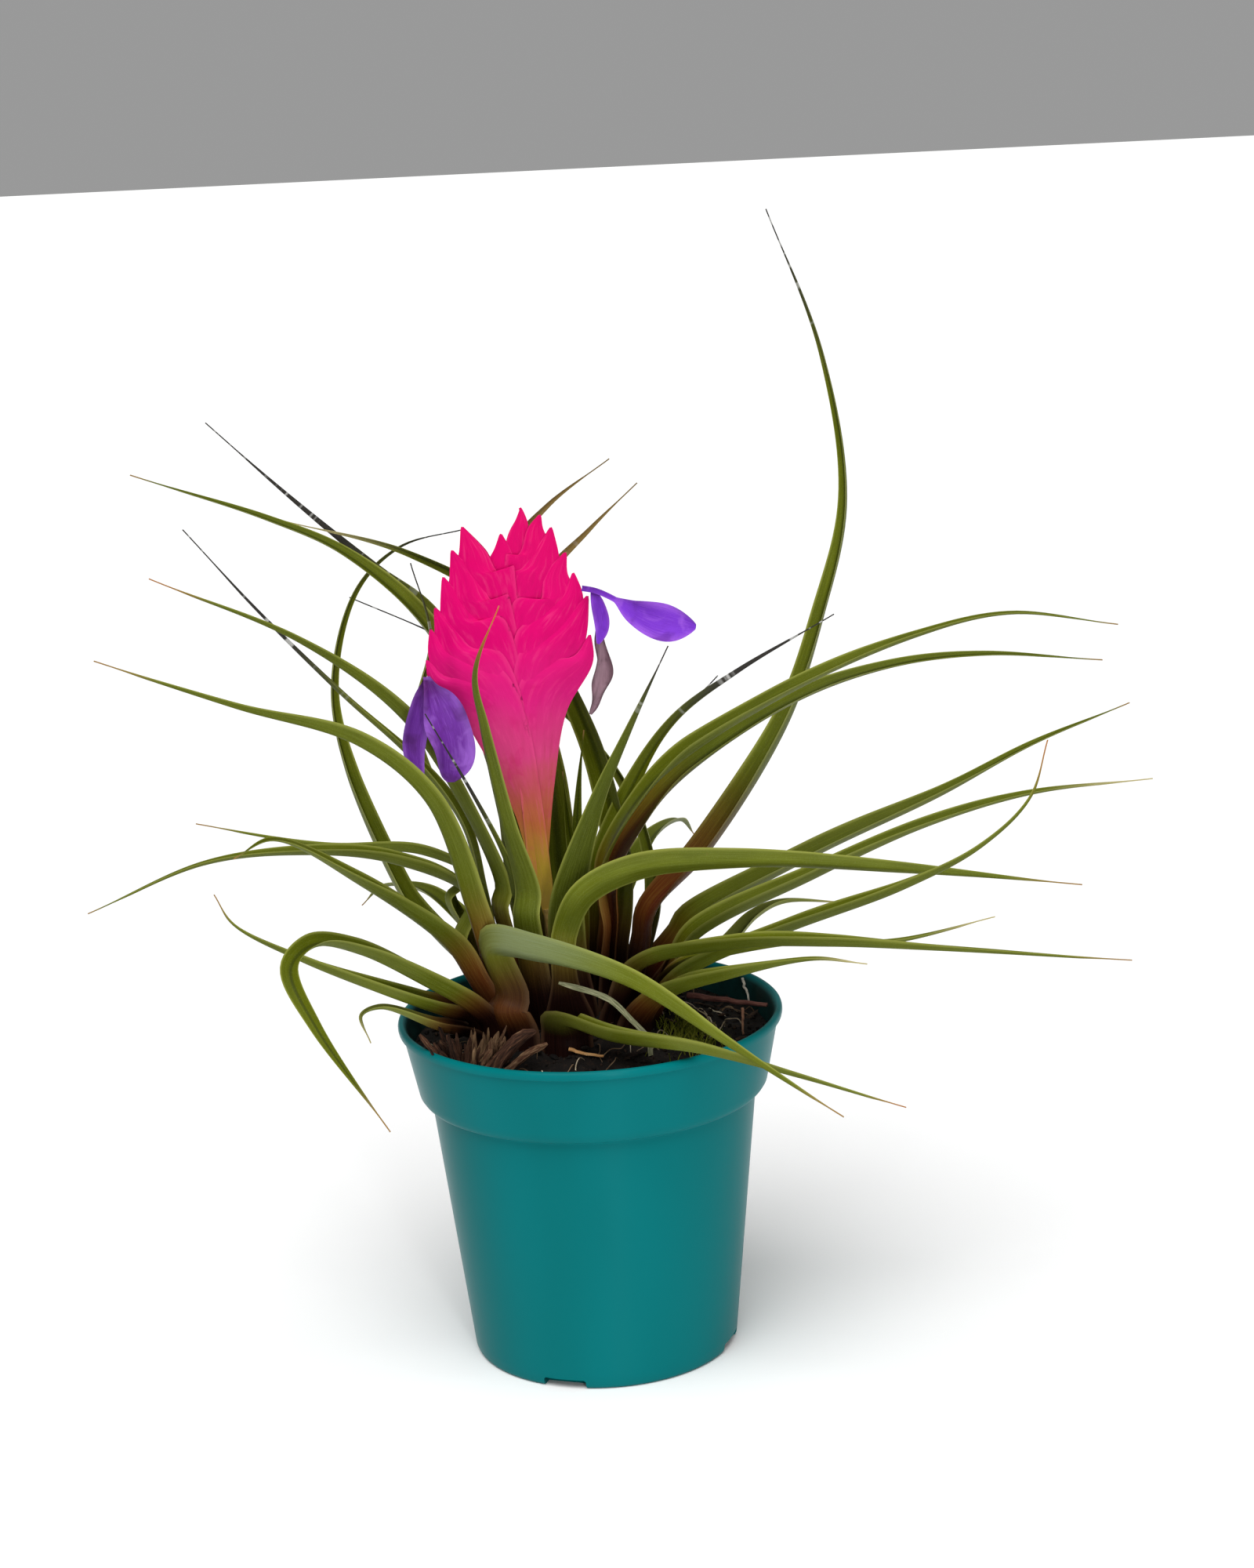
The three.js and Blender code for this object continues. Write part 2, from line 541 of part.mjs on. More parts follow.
// One bract: a blade folded almost shut, with its keel on the paddle's outline and its two sides
// running back over the axis
function bractGeometry(tips, index, place, rank) {
  const keel = bractKeel(tips, index, place, rank);
  const length = keel.getLength();
  const reach = (t) => {
    const across = Math.abs(keel.getPointAt(t).x - axisAt(keel.getPointAt(t).z).x);
    return Math.min(across + 3, BRACT_REACH, BRACT_POINT * (1 - t) * length + 0.4);
  };
  return blade(keel, BRACT_STEPS, vector(0, rank, 0), {
    width: (t) => 2 * reach(t),
    fold: (t) => lerp(90 - lerp(...BRACT_OPENING, place), BRACT_TIP_FOLD, smooth(t, 0.86, 1)),
    thickness: () => THINNEST,
  });
}

// The closed buds inside the head, as one slim core that every bract is joined to
function headCoreGeometry() {
  const heights = [114.9, 120, 138, 158, 178, 198, 216];
  const rings = heights.map((z, i) => {
    const part = i / (heights.length - 1);
    const swell = Math.sin(Math.PI * Math.min(0.12 + part * 0.86, 1));
    const [across, deep] = [1.2 + 9 * swell * part, 1 + 2.2 * swell];
    const centre = axisAt(z);
    return Array.from({ length: 6 }, (_, k) => {
      const angle = (Math.PI * k) / 3;
      return vector(centre.x + across * Math.cos(angle), HEAD_Y + deep * Math.sin(angle), z);
    });
  });
  return skin(rings);
}

function quillGeometry() {
  const rank = (tips, side) =>
    tips.map((_, i) => bractGeometry(tips, i, (i + (side > 0 ? 0.5 : 0)) / tips.length, side));
  return fuse([headCoreGeometry(), ...rank(LEFT_TIPS, -1), ...rank(RIGHT_TIPS, 1)]);
}

const scapeGeometry = () =>
  rod(
    [[-5, 0, CROWN.top + GAP], [-6.5, -0.4, 97], [-8.4, -0.8, 107], [-9.8, HEAD_Y, 114.5]].map(
      (p) => vector(...p),
    ),
    SCAPE.bottom,
    SCAPE.top,
    8,
    10,
  );

// Flowers: each is a claw with soft petals that hang from it
function petal(points, width, fold, claw, side) {
  const curve = curveThrough(points.map((p) => vector(...p)));
  const spread = (t) => Math.max(t - claw, 0) / (1 - claw);
  const swell = (t) => Math.pow(Math.sin(Math.PI * Math.min(0.06 + 0.9 * spread(t), 1)), 0.7);
  return blade(curve, 7, side, {
    width: (t) => Math.max(width * swell(t), 1.2),
    fold: () => fold,
    thickness: () => THINNEST,
  });
}

const flowerGeometry = ({ petals, side }) =>
  fuse(petals.map(([width, fold, claw, ...points]) => petal(points, width, fold, claw, vector(...side))));

// Loose pieces: splintered bark that stands in the soil, and thin things that lie on it
function barkFanGeometry() {
  const random = randomSource(FAN.seed);
  const lump = new THREE.IcosahedronGeometry(1, 0).scale(6.4, 4.4, 3.4);
  lump.translate(FAN.x, FAN.y, FAN.bottom + 3.4);
  const slivers = Array.from({ length: FAN.slivers }, (_, i) => {
    const spread = i / (FAN.slivers - 1) - 0.5;
    const foot = vector(FAN.x + 8 * spread, FAN.y + 3 * (random() - 0.5), FAN.bottom + 3);
    const height = (FAN.top - foot.z) * (0.55 + 0.45 * random());
    const head = foot.clone().add(vector(7 * spread + 3 * (random() - 0.5), 3 * (random() - 0.3), height));
    const middle = foot.clone().lerp(head, 0.5).add(vector(random() - 0.5, random() - 0.5, 0));
    const width = 2.4 + 1.8 * random();
    return blade(curveThrough([foot, middle, head]), 3, vector(1, 0.6 * (random() - 0.5), 0), {
      width: (t) => width * (1 - 0.55 * t * t),
      fold: () => 14,
      thickness: () => 0.9,
    });
  });
  return fuse([lump, ...slivers]);
}

const barkCurlGeometry = () =>
  blade(curveThrough(CURL.map((p) => vector(...p))), 7, vector(0.6, 0.8, 0), {
    width: (t) => 3 + 4 * Math.sin(Math.PI * Math.min(0.15 + 0.8 * t, 1)),
    fold: (t) => 30 + 12 * t,
    thickness: () => 1,
  });

const threadGeometry = (points, radius) =>
  rod(points.map((p) => vector(...p)), radius, 0.8 * radius, 6, 8);

export const pinkQuill = new THREE.Group();
pinkQuill.add(piece("pot", potGeometry(), FINISH.pot));
pinkQuill.add(piece("soil", soilGeometry(), FINISH.soil));
pinkQuill.add(piece("crown", crownGeometry(), FINISH.crown));
pinkQuill.add(piece("scape", scapeGeometry(), FINISH.scape));
pinkQuill.add(piece("quill", quillGeometry(), FINISH.quill));
pinkQuill.add(piece("flower_left", flowerGeometry(FLOWER_LEFT), FINISH.petal));
pinkQuill.add(piece("flower_right", flowerGeometry(FLOWER_RIGHT), FINISH.petal));
pinkQuill.add(piece("flower_withered", flowerGeometry(FLOWER_WITHERED), FINISH.withered));
pinkQuill.add(piece("dry_leaf", dryLeafGeometry(), FINISH.dryLeaf));
pinkQuill.add(piece("bark_fan", barkFanGeometry(), FINISH.bark));
pinkQuill.add(piece("bark_curl", barkCurlGeometry(), FINISH.bark));
pinkQuill.add(piece("twig", threadGeometry(TWIG, 0.55), FINISH.twig));
pinkQuill.add(piece("stick", threadGeometry(STICK, 0.9), FINISH.stick));
pinkQuill.add(piece("root_thread", threadGeometry(ROOT_THREAD, 0.45), FINISH.rootThread));
pinkQuill.add(piece("straw", threadGeometry(STRAW, 0.5), FINISH.twig));
fitLeaves(layLeaves(LEAVES)).forEach((geometry, i) => {
  const name = "leaf_" + String(i + 1).padStart(2, "0");
  pinkQuill.add(piece(name, geometry, FINISH.leaf));
});

export default pinkQuill;
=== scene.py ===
"""Pink quill in its nursery pot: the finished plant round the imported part.

The pieces are worked out in millimetres and placed in metres, with +Z up, the origin at the centre of
the pot's base and -Y towards the front, the side that the flat flower head faces.
"""

import logging
import math
from dataclasses import dataclass, field
from enum import Enum
from typing import Sequence, Union

import bpy
import numpy as np
from mathutils import Matrix, Vector, noise


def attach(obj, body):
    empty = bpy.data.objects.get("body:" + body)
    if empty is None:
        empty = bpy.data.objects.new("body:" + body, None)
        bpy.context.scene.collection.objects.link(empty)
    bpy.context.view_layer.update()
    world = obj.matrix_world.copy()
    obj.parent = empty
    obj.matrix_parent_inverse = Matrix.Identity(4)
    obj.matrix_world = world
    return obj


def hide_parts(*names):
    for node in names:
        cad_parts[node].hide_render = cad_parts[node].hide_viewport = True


LOG = logging.getLogger("pink_quill")
MM = 0.001
CIRCLE = 2 * math.pi
Pair = tuple[float, float]
Point = tuple[float, float, float]
Colour = tuple[float, float, float, float]
Stops = tuple[tuple[float, Colour], ...]
Socket = bpy.types.NodeSocket
Value = Union[Socket, float, Colour, Point]
Number = Union[np.ndarray, float]

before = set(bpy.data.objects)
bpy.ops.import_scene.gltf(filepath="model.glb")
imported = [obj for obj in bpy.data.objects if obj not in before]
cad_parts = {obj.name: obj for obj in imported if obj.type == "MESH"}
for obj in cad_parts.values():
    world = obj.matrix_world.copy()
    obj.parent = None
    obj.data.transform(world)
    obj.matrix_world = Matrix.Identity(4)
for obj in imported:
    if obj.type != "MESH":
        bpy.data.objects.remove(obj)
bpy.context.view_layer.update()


def smooth(value: Number, low: float, high: float) -> np.ndarray:
    """Return a soft step that is 0 below low and 1 above high."""
    part = np.clip((np.asarray(value, float) - low) / (high - low), 0.0, 1.0)
    return part * part * (3.0 - 2.0 * part)


def mix(low: Number, high: Number, part: Number) -> np.ndarray:
    """Return the value a part of the way from low to high."""
    return low + (np.asarray(high, float) - low) * part


def ink(red: int, green: int, blue: int) -> Colour:
    """Return a screen colour, 0 to 255 in each channel, as the linear colour that a shader takes."""
    shares = (red / 255, green / 255, blue / 255)
    return (*(c / 12.92 if c <= 0.04045 else ((c + 0.055) / 1.055) ** 2.4 for c in shares), 1.0)


def ring_angles(count: int) -> np.ndarray:
    """Return the angles of one ring of points, clockwise."""
    return -np.linspace(0, CIRCLE, count, endpoint=False)


def around(radius: float, angle: float, z: float = 0.0) -> np.ndarray:
    """Return the point at a radius, an angle and a height."""
    return np.array([radius * math.cos(angle), radius * math.sin(angle), z])


def unit(way: Sequence[float]) -> np.ndarray:
    """Return a direction at length 1."""
    return np.array(way) / np.linalg.norm(way)


class Strand:
    """A smooth curve through a few points in millimetres, followed by its length."""

    shortest = 1e-6

    def __init__(self, points: Sequence[Sequence[float]], fineness: int = 40) -> None:
        """Lay the curve.

        Args:
            points: The points that it passes through.
            fineness: Straight bits between one point and the next.
        """
        knots = np.array(points, float)
        ends = np.vstack([2 * knots[0] - knots[1], knots, 2 * knots[-1] - knots[-2]])
        gaps = [max(float(np.linalg.norm(b - a)), self.shortest) ** 0.5 for a, b in zip(ends, ends[1:])]
        w = np.linspace(0, 1, fineness, endpoint=False)[:, None]
        bits = []
        for k, (before, start, stop, after) in enumerate(zip(ends, ends[1:], ends[2:], ends[3:])):
            lead, gap, trail = gaps[k : k + 3]
            leave = (start - before) / lead - (stop - before) / (lead + gap) + (stop - start) / gap
            arrive = (stop - start) / gap - (after - start) / (gap + trail) + (after - stop) / trail
            leave, arrive = leave * gap, arrive * gap
            square = (3 * (stop - start) - 2 * leave - arrive) * w**2
            cube = (2 * (start - stop) + leave + arrive) * w**3
            bits.append(start + leave * w + square + cube)
        self.track = np.vstack([*bits, knots[-1:]])
        self.run = np.concatenate([[0.0], np.cumsum(np.linalg.norm(np.diff(self.track, axis=0), axis=1))])
        self.length = float(self.run[-1])

    def at(self, part: Number) -> np.ndarray:
        """Return the points at these parts of the length."""
        along = np.asarray(part, float) * self.length
        return np.stack([np.interp(along, self.run, self.track[:, k]) for k in range(3)], -1)


@dataclass
class Rail:
    """Points along a strand, each with its direction, a side direction and the normal of the two."""

    part: np.ndarray
    point: np.ndarray
    way: np.ndarray
    side: np.ndarray
    normal: np.ndarray
    length: float

    @classmethod
    def along(cls, strand: Strand, part: np.ndarray, side: Sequence[float]) -> "Rail":
        """Carry a side direction along a strand without twisting it.

        Args:
            strand: The curve to follow.
            part: Parts of its length, from 0 to 1.
            side: The side direction at its start.

        Returns:
            The rail at those parts.
        """
        point = strand.at(part)
        way = np.gradient(point, axis=0)
        way /= np.linalg.norm(way, axis=1)[:, None]
        across, sides = np.array(side, float), []
        for step in way:
            across = across - step * float(across @ step)
            across = across / np.linalg.norm(across)
            sides.append(across)
        carried = np.array(sides)
        return cls(part, point, way, carried, np.cross(way, carried), strand.length)

    def turned(self, degrees: np.ndarray) -> "Rail":
        """Turn the side direction about the way.

        Args:
            degrees: How far it turns at each point.

        Returns:
            The turned rail.
        """
        angle = np.radians(degrees)[:, None]
        side = self.side * np.cos(angle) + self.normal * np.sin(angle)
        return Rail(self.part, self.point, self.way, side, np.cross(self.way, side), self.length)

    def off(self, aside: np.ndarray, up: np.ndarray) -> np.ndarray:
        """Return points this far to the side and up, as steps by places by 3."""
        across, over = self.side[:, None] * aside[..., None], self.normal[:, None] * up[..., None]
        return self.point[:, None] + across + over


class Shell:
    """The points and faces of one piece, with named numbers (marks) that its points carry."""

    def __init__(self) -> None:
        """Start with nothing in it."""
        self.points: list[np.ndarray] = []
        self.faces: list[tuple[int, ...]] = []
        self.marks: dict[str, list[np.ndarray]] = {}
        self.count = 0

    def add(self, points: np.ndarray, faces: list[tuple[int, ...]], **marks: Number) -> None:
        """Add loose points with faces between them.

        Args:
            points: The points, one row each.
            faces: Rows of indices into points.
            **marks: Numbers on the points, or one number for all of them.
        """
        for name in dict.fromkeys([*self.marks, *marks]):
            rows = self.marks.setdefault(name, [np.zeros(self.count)] if self.count else [])
            rows.append(np.broadcast_to(np.asarray(marks.get(name, 0.0), float), (len(points),)).copy())
        self.points.append(np.asarray(points, float))
        self.faces += [tuple(self.count + i for i in face) for face in faces]
        self.count += len(points)

    def add_rings(self, rings: np.ndarray, **marks: Number) -> None:
        """Add a closed skin over rings of points, with a cap at each end.

        Args:
            rings: Points as rings by points by 3, each ring clockwise seen along the way they follow.
            **marks: Numbers on the points, as rings by points.
        """
        many, count = rings.shape[:2]
        faces = []
        for r in range(many - 1):
            for i in range(count):
                a, b = r * count + i, r * count + (i + 1) % count
                faces.append((a, a + count, b + count, b))
        last = (many - 1) * count
        faces.append(tuple(range(count)))
        faces.append(tuple(last + i for i in reversed(range(count))))
        flat = {name: np.broadcast_to(value, (many, count)).ravel() for name, value in marks.items()}
        self.add(rings.reshape(-1, 3), faces, **flat)

    def add_rod(self, strand: Strand, radii: Pair, steps: int, sides: int, **marks: Number) -> None:
        """Add a round rod along a strand.

        Args:
            strand: Its centre line.
            radii: Its radius at the start and at the far end.
            steps: Bits along it.
            sides: Bits round it.
            **marks: Numbers on its points.
        """
        part = np.linspace(0, 1, steps + 1)
        rail = Rail.along(strand, part, unit(np.cross(strand.track[1] - strand.track[0], (0.3, 1.0, 0.2))))
        angles = ring_angles(sides)
        wide, high = np.cos(angles)[None, :, None], np.sin(angles)[None, :, None]
        ring = rail.side[:, None] * wide + rail.normal[:, None] * high
        rings = rail.point[:, None] + mix(*radii, part)[:, None, None] * ring
        run = (part * strand.length)[:, None]
        self.add_rings(rings, run=run, across=np.sin(angles)[None], part=part[:, None], **marks)

    def add_sheet(
        self,
        rail: Rail,
        width: np.ndarray,
        aside: np.ndarray,
        up: np.ndarray,
        thick: Number,
        **marks: Number,
    ) -> None:
        """Add a thin curved sheet along a rail.

        Args:
            rail: Its middle line.
            width: Half its width along it, which thins it where it is narrow.
            aside: Distance to the side, as steps by places across.
            up: Height over the rail, as steps by places across.
            thick: Its thickness along its middle.
            **marks: Numbers on its points: one, one a step, or as steps by places across.
        """
        across = np.linspace(-1, 1, aside.shape[1])
        thickness = np.broadcast_to(thick, (len(width),))[:, None] * (1 - 0.7 * np.abs(across)[None] ** 2)
        thickness = thickness * np.minimum(1.0, width[:, None] / 0.6 + 0.3)
        rings = np.concatenate([rail.off(aside, up), rail.off(aside, up - thickness)[:, -2:0:-1]], 1)
        under = np.concatenate([np.zeros(len(across)), np.ones(len(across) - 2)])
        carried: dict[str, Number] = {"across": across[None], "part": rail.part}
        carried["run"] = rail.part * rail.length
        for name, value in (carried | marks).items():
            value = np.asarray(value, float)
            value = value[:, None] if value.ndim == 1 else value
            if value.ndim == 2 and value.shape[1] == len(across):
                value = np.concatenate([value, value[:, -2:0:-1]], 1)
            carried[name] = value
        self.add_rings(rings, under=under[None], **carried)

    def mesh(self, name: str) -> bpy.types.Mesh:
        """Make the shell a mesh in metres.

        Args:
            name: The mesh's name.

        Returns:
            The mesh, smooth all over.
        """
        made = bpy.data.meshes.new(name)
        made.from_pydata((np.vstack(self.points) * MM).tolist(), [], self.faces)
        for mark, rows in self.marks.items():
            layer = made.attributes.new(mark, "FLOAT", "POINT")
            layer.data.foreach_set("value", np.concatenate(rows).astype(np.float32))
        made.polygons.foreach_set("use_smooth", np.ones(len(made.polygons), bool))
        made.update()
        return made


def place(
    mesh: bpy.types.Mesh,
    material: bpy.types.Material,
    stands_for: Sequence[str] = (),
    crease: float = 180.0,
) -> None:
    """Put a finished piece in the scene.

    Args:
        mesh: The piece's mesh, which gives it its name.
        material: Its finish.
        stands_for: The plain solids that it replaces.
        crease: Degrees between faces above which an edge is sharp.
    """
    mesh.materials.clear()
    mesh.materials.append(material)
    mesh.set_sharp_from_angle(angle=math.radians(crease))
    piece = bpy.data.objects.new(mesh.name, mesh)
    bpy.context.scene.collection.objects.link(piece)
    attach(piece, "root")
    if stands_for:
        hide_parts(*stands_for)
    LOG.info("%s: %d faces", piece.name, len(mesh.polygons))


class Paint:
    """A finish under construction, with short ways to add its nodes and join them."""

    first_colour = 6  # where a mix node's colour inputs start
    mixed_colour = 2  # its colour output

    def __init__(self, name: str) -> None:
        """Start a material with one shader.

        Args:
            name: The material's name.
        """
        self.material = bpy.data.materials.new(name)
        self.material.use_nodes = True
        self.tree = self.material.node_tree
        self.shader = self.tree.nodes["Principled BSDF"]

    def feed(self, socket: Socket, value: Value) -> None:
        """Join a socket to an input, or set the input to a plain value.

        Args:
            socket: The input.
            value: What it takes.
        """
        if isinstance(value, bpy.types.NodeSocket):
            self.tree.links.new(value, socket)
        else:
            socket.default_value = value

    def add(self, kind: str, out: int | str, *given: Value, start: int = 0, **settings: str) -> Socket:
        """Add one node.

        Args:
            kind: Its type.
            out: The output to return.
            *given: What its inputs take, in their order.
            start: The first input that takes one.
            **settings: Its settings.

        Returns:
            That output.
        """
        node = self.tree.nodes.new("ShaderNode" + kind)
        for name, value in settings.items():
            setattr(node, name, value)
        for number, value in enumerate(given, start):
            self.feed(node.inputs[number], value)
        return node.outputs[out]

    def mark(self, name: str) -> Socket:
        """Return a number that the piece's points carry."""
        return self.add("Attribute", "Fac", attribute_name=name)

    def spot(self) -> Socket:
        """Return the place on the piece, in metres."""
        return self.add("TexCoord", "Object")

    def upright(self) -> Socket:
        """Return the direction round the piece's upright axis."""
        return self.add("Tangent", 0, direction_type="RADIAL", axis="Z")

    def height(self) -> Socket:
        """Return the height on the piece, in metres."""
        return self.add("SeparateXYZ", "Z", self.spot())

    def drawn(self, upward: float) -> Socket:
        """Return the place on the piece with its height scaled."""
        return self.add("VectorMath", 0, self.spot(), (1.0, 1.0, upward), operation="MULTIPLY")

    def times(self, first: Value, second: Value) -> Socket:
        """Return the product of two numbers."""
        return self.add("Math", 0, first, second, operation="MULTIPLY")

    def plus(self, first: Value, second: Value) -> Socket:
        """Return the sum of two numbers."""
        return self.add("Math", 0, first, second, operation="ADD")

    def less(self, first: Value, second: Value) -> Socket:
        """Return the first number less the second."""
        return self.add("Math", 0, first, second, operation="SUBTRACT")

    def off_middle(self) -> Socket:
        """Return the distance from the piece's middle line, from 0 to 1."""
        return self.add("Math", 0, self.mark("across"), operation="ABSOLUTE")

    def cells(self, scale: float) -> Socket:
        """Return the distance to the nearest of scattered spots."""
        return self.add("TexVoronoi", "Distance", self.spot(), 0.0, scale)

    def blend(self, share: Value, first: Value, second: Value) -> Socket:
        """Mix two colours.

        Args:
            share: How much of the second there is, from 0 to 1.
            first: One colour.
            second: The other colour.

        Returns:
            The mixed colour.
        """
        mixed = self.add("Mix", self.mixed_colour, first, second, start=self.first_colour, data_type="RGBA")
        self.feed(mixed.node.inputs["Factor"], share)
        return mixed

    def grain(
        self,
        scale: float,
        detail: float = 3.0,
        rough: float = 0.55,
        warp: float = 0.0,
        where: Socket | None = None,
    ) -> Socket:
        """Return soft noise.

        Args:
            scale: How fine it is.
            detail: How many finer layers it has.
            rough: How strong the finer layers are.
            warp: How far it is bent.
            where: The place that it is read at, which is the place on the piece if none is given.

        Returns:
            The noise, about 0.5 in the middle.
        """
        noise_out = self.add("TexNoise", "Fac", where or self.spot())
        sizes = {"Scale": scale, "Detail": detail, "Roughness": rough, "Distortion": warp}
        for name, value in sizes.items():
            noise_out.node.inputs[name].default_value = value
        return noise_out

    def fibre(
        self,
        wide: float,
        long: float,
        scale: float,
        detail: float = 3.0,
        rough: float = 0.55,
        apart: float = 1.0,
    ) -> Socket:
        """Return noise that is drawn out along the piece.

        Args:
            wide: How fast it changes across the piece.
            long: How fast it changes along the piece.
            scale: How fine it is.
            detail: How many finer layers it has.
            rough: How strong the finer layers are.
            apart: How different one piece's is from the next one's.

        Returns:
            The noise, about 0.5 in the middle.
        """
        factors = {"across": wide, "run": long, "tone": apart}
        parts = [self.times(self.mark(name), factor) for name, factor in factors.items()]
        return self.grain(scale, detail, rough, where=self.add("CombineXYZ", 0, *parts))

    def band(self, value: Value, low: float, high: float, bottom: float = 0.0, top: float = 1.0) -> Socket:
        """Return a number read across a soft step from bottom, at low, to top, at high."""
        return self.add("MapRange", 0, value, low, high, bottom, top, interpolation_type="SMOOTHSTEP")

    def slope(self, value: Value, low: float, high: float) -> Socket:
        """Return a number read as a share of the way from low to high."""
        return self.add("MapRange", 0, value, low, high, 0.0, 1.0, interpolation_type="LINEAR")

    def ramp(self, value: Value, stops: Stops) -> Socket:
        """Return the colour of a number on a scale of stops.

        Args:
            value: The number.
            stops: Places on the scale with their colours.

        Returns:
            The colour.
        """
        colour = self.add("ValToRGB", 0, value)
        scale = colour.node.color_ramp.elements
        while len(scale) < len(stops):
            scale.new(0.5)
        for element, (where, shade) in zip(scale, stops):
            element.position, element.color = where, shade
        return colour

    def relief(self, coarse: Value, fine: Value, share: float, strength: float, deep: float) -> None:
        """Give the surface a fine relief.

        Args:
            coarse: Its larger forms.
            fine: Its smaller forms.
            share: How much the smaller ones count.
            strength: How strong it is, from 0 to 1.
            deep: Its depth in metres.
        """
        bump = self.add("Bump", 0, strength, deep)
        self.feed(bump.node.inputs["Height"], self.plus(coarse, self.times(fine, share)))
        self.feed(self.shader.inputs["Normal"], bump)

    def finish(self, colour: Value, rough: Value, gloss: float) -> bpy.types.Material:
        """Join the colour, the roughness and the strength of the shine.

        Args:
            colour: The surface's colour.
            rough: Its roughness.
            gloss: How much it reflects.

        Returns:
            The material.
        """
        self.feed(self.shader.inputs["Base Color"], colour)
        self.feed(self.shader.inputs["Roughness"], rough)
        self.shader.inputs["Specular IOR Level"].default_value = gloss
        return self.material


@dataclass(frozen=True)
class PotPlastic:
    """Satin teal plastic with faint flow marks, rubbed spots and painted shade that darkens its inside."""

    colour: Colour = ink(0, 108, 111)
    deep: Colour = ink(0, 102, 104)
    rubbed: Colour = ink(70, 130, 130)
    # the near-black colour of the painted shade inside the pot
    inner_shade: Colour = ink(12, 26, 22)
    rough: float = 0.34
    gloss: float = 0.05
    drawn: float = 0.8  # how far a highlight is drawn out
    turn: float = 0.25  # which way, as a share of a turn

    def make(self) -> bpy.types.Material:
        """Return the finish.

        Returns:
            The material.
        """
        p = Paint("pot_plastic")
        flow = p.grain(26, 2, 0.5, 0.3, p.drawn(0.3))
        colour = p.blend(p.band(flow, 0.3, 0.7), self.deep, self.colour)
        scuff = p.band(p.grain(340, 4, 0.6, where=p.drawn(3.0)), 0.7, 0.86, 0.0, 0.1)
        colour = p.blend(scuff, colour, self.rubbed)
        # Painted shade: the inside wall is darkened almost to black, a little unevenly.
        painted_inner_shade = p.times(p.mark("inside"), p.band(p.grain(130, 4, 0.6), 0.2, 0.7, 0.98, 0.8))
        colour = p.blend(painted_inner_shade, colour, self.inner_shade)
        p.relief(p.times(flow, 0.3), p.grain(1400, 2), share=0.1, strength=0.08, deep=0.0004)
        p.feed(p.shader.inputs["Tangent"], p.upright())
        p.feed(p.shader.inputs["Anisotropic"], self.drawn)
        p.feed(p.shader.inputs["Anisotropic Rotation"], self.turn)
        rough = p.band(flow, 0.25, 0.75, self.rough - 0.02, self.rough + 0.04)
        return p.finish(colour, rough, self.gloss)


@dataclass(frozen=True)
class PottingMixFinish:
    """Nearly black damp potting mix with brown crumbs."""

    crumbs: Stops = (
        (0.3, ink(9, 7, 5)),
        (0.55, ink(22, 16, 12)),
        (0.72, ink(52, 36, 25)),
        (0.85, ink(92, 68, 48)),
    )
    damp: Colour = ink(9, 7, 6)
    gloss: float = 0.2

    def make(self) -> bpy.types.Material:
        """Return the finish.

        Returns:
            The material.
        """
        p = Paint("soil")
        crumb, patch = p.grain(420, 6, 0.7), p.grain(90)
        colour = p.blend(p.band(patch, 0.35, 0.65, 0.0, 0.6), p.ramp(crumb, self.crumbs), self.damp)
        p.relief(crumb, p.grain(1500), share=0.4, strength=0.8, deep=0.0012)
        return p.finish(colour, p.band(patch, 0.3, 0.7, 0.72, 0.95), self.gloss)


@dataclass(frozen=True)
class BarkFinish:
    """Dry fibrous matter, streaked along each sliver, in three shades."""

    name: str
    dark: Colour
    mid: Colour
    pale: Colour
    gloss: float = 0.2

    def make(self) -> bpy.types.Material:
        """Return the finish.

        Returns:
            The material.
        """
        p = Paint(self.name)
        streak = p.fibre(4.0, 0.12, 2.4, 5, 0.65)
        tone = p.plus(streak, p.times(p.less(p.mark("shade"), 0.5), 0.5))
        colour = p.ramp(tone, ((0.25, self.dark), (0.5, self.mid), (0.78, self.pale)))
        p.relief(streak, p.grain(1600), share=0.3, strength=0.7, deep=0.0006)
        return p.finish(colour, p.band(streak, 0.3, 0.7, 0.95, 0.75), self.gloss)


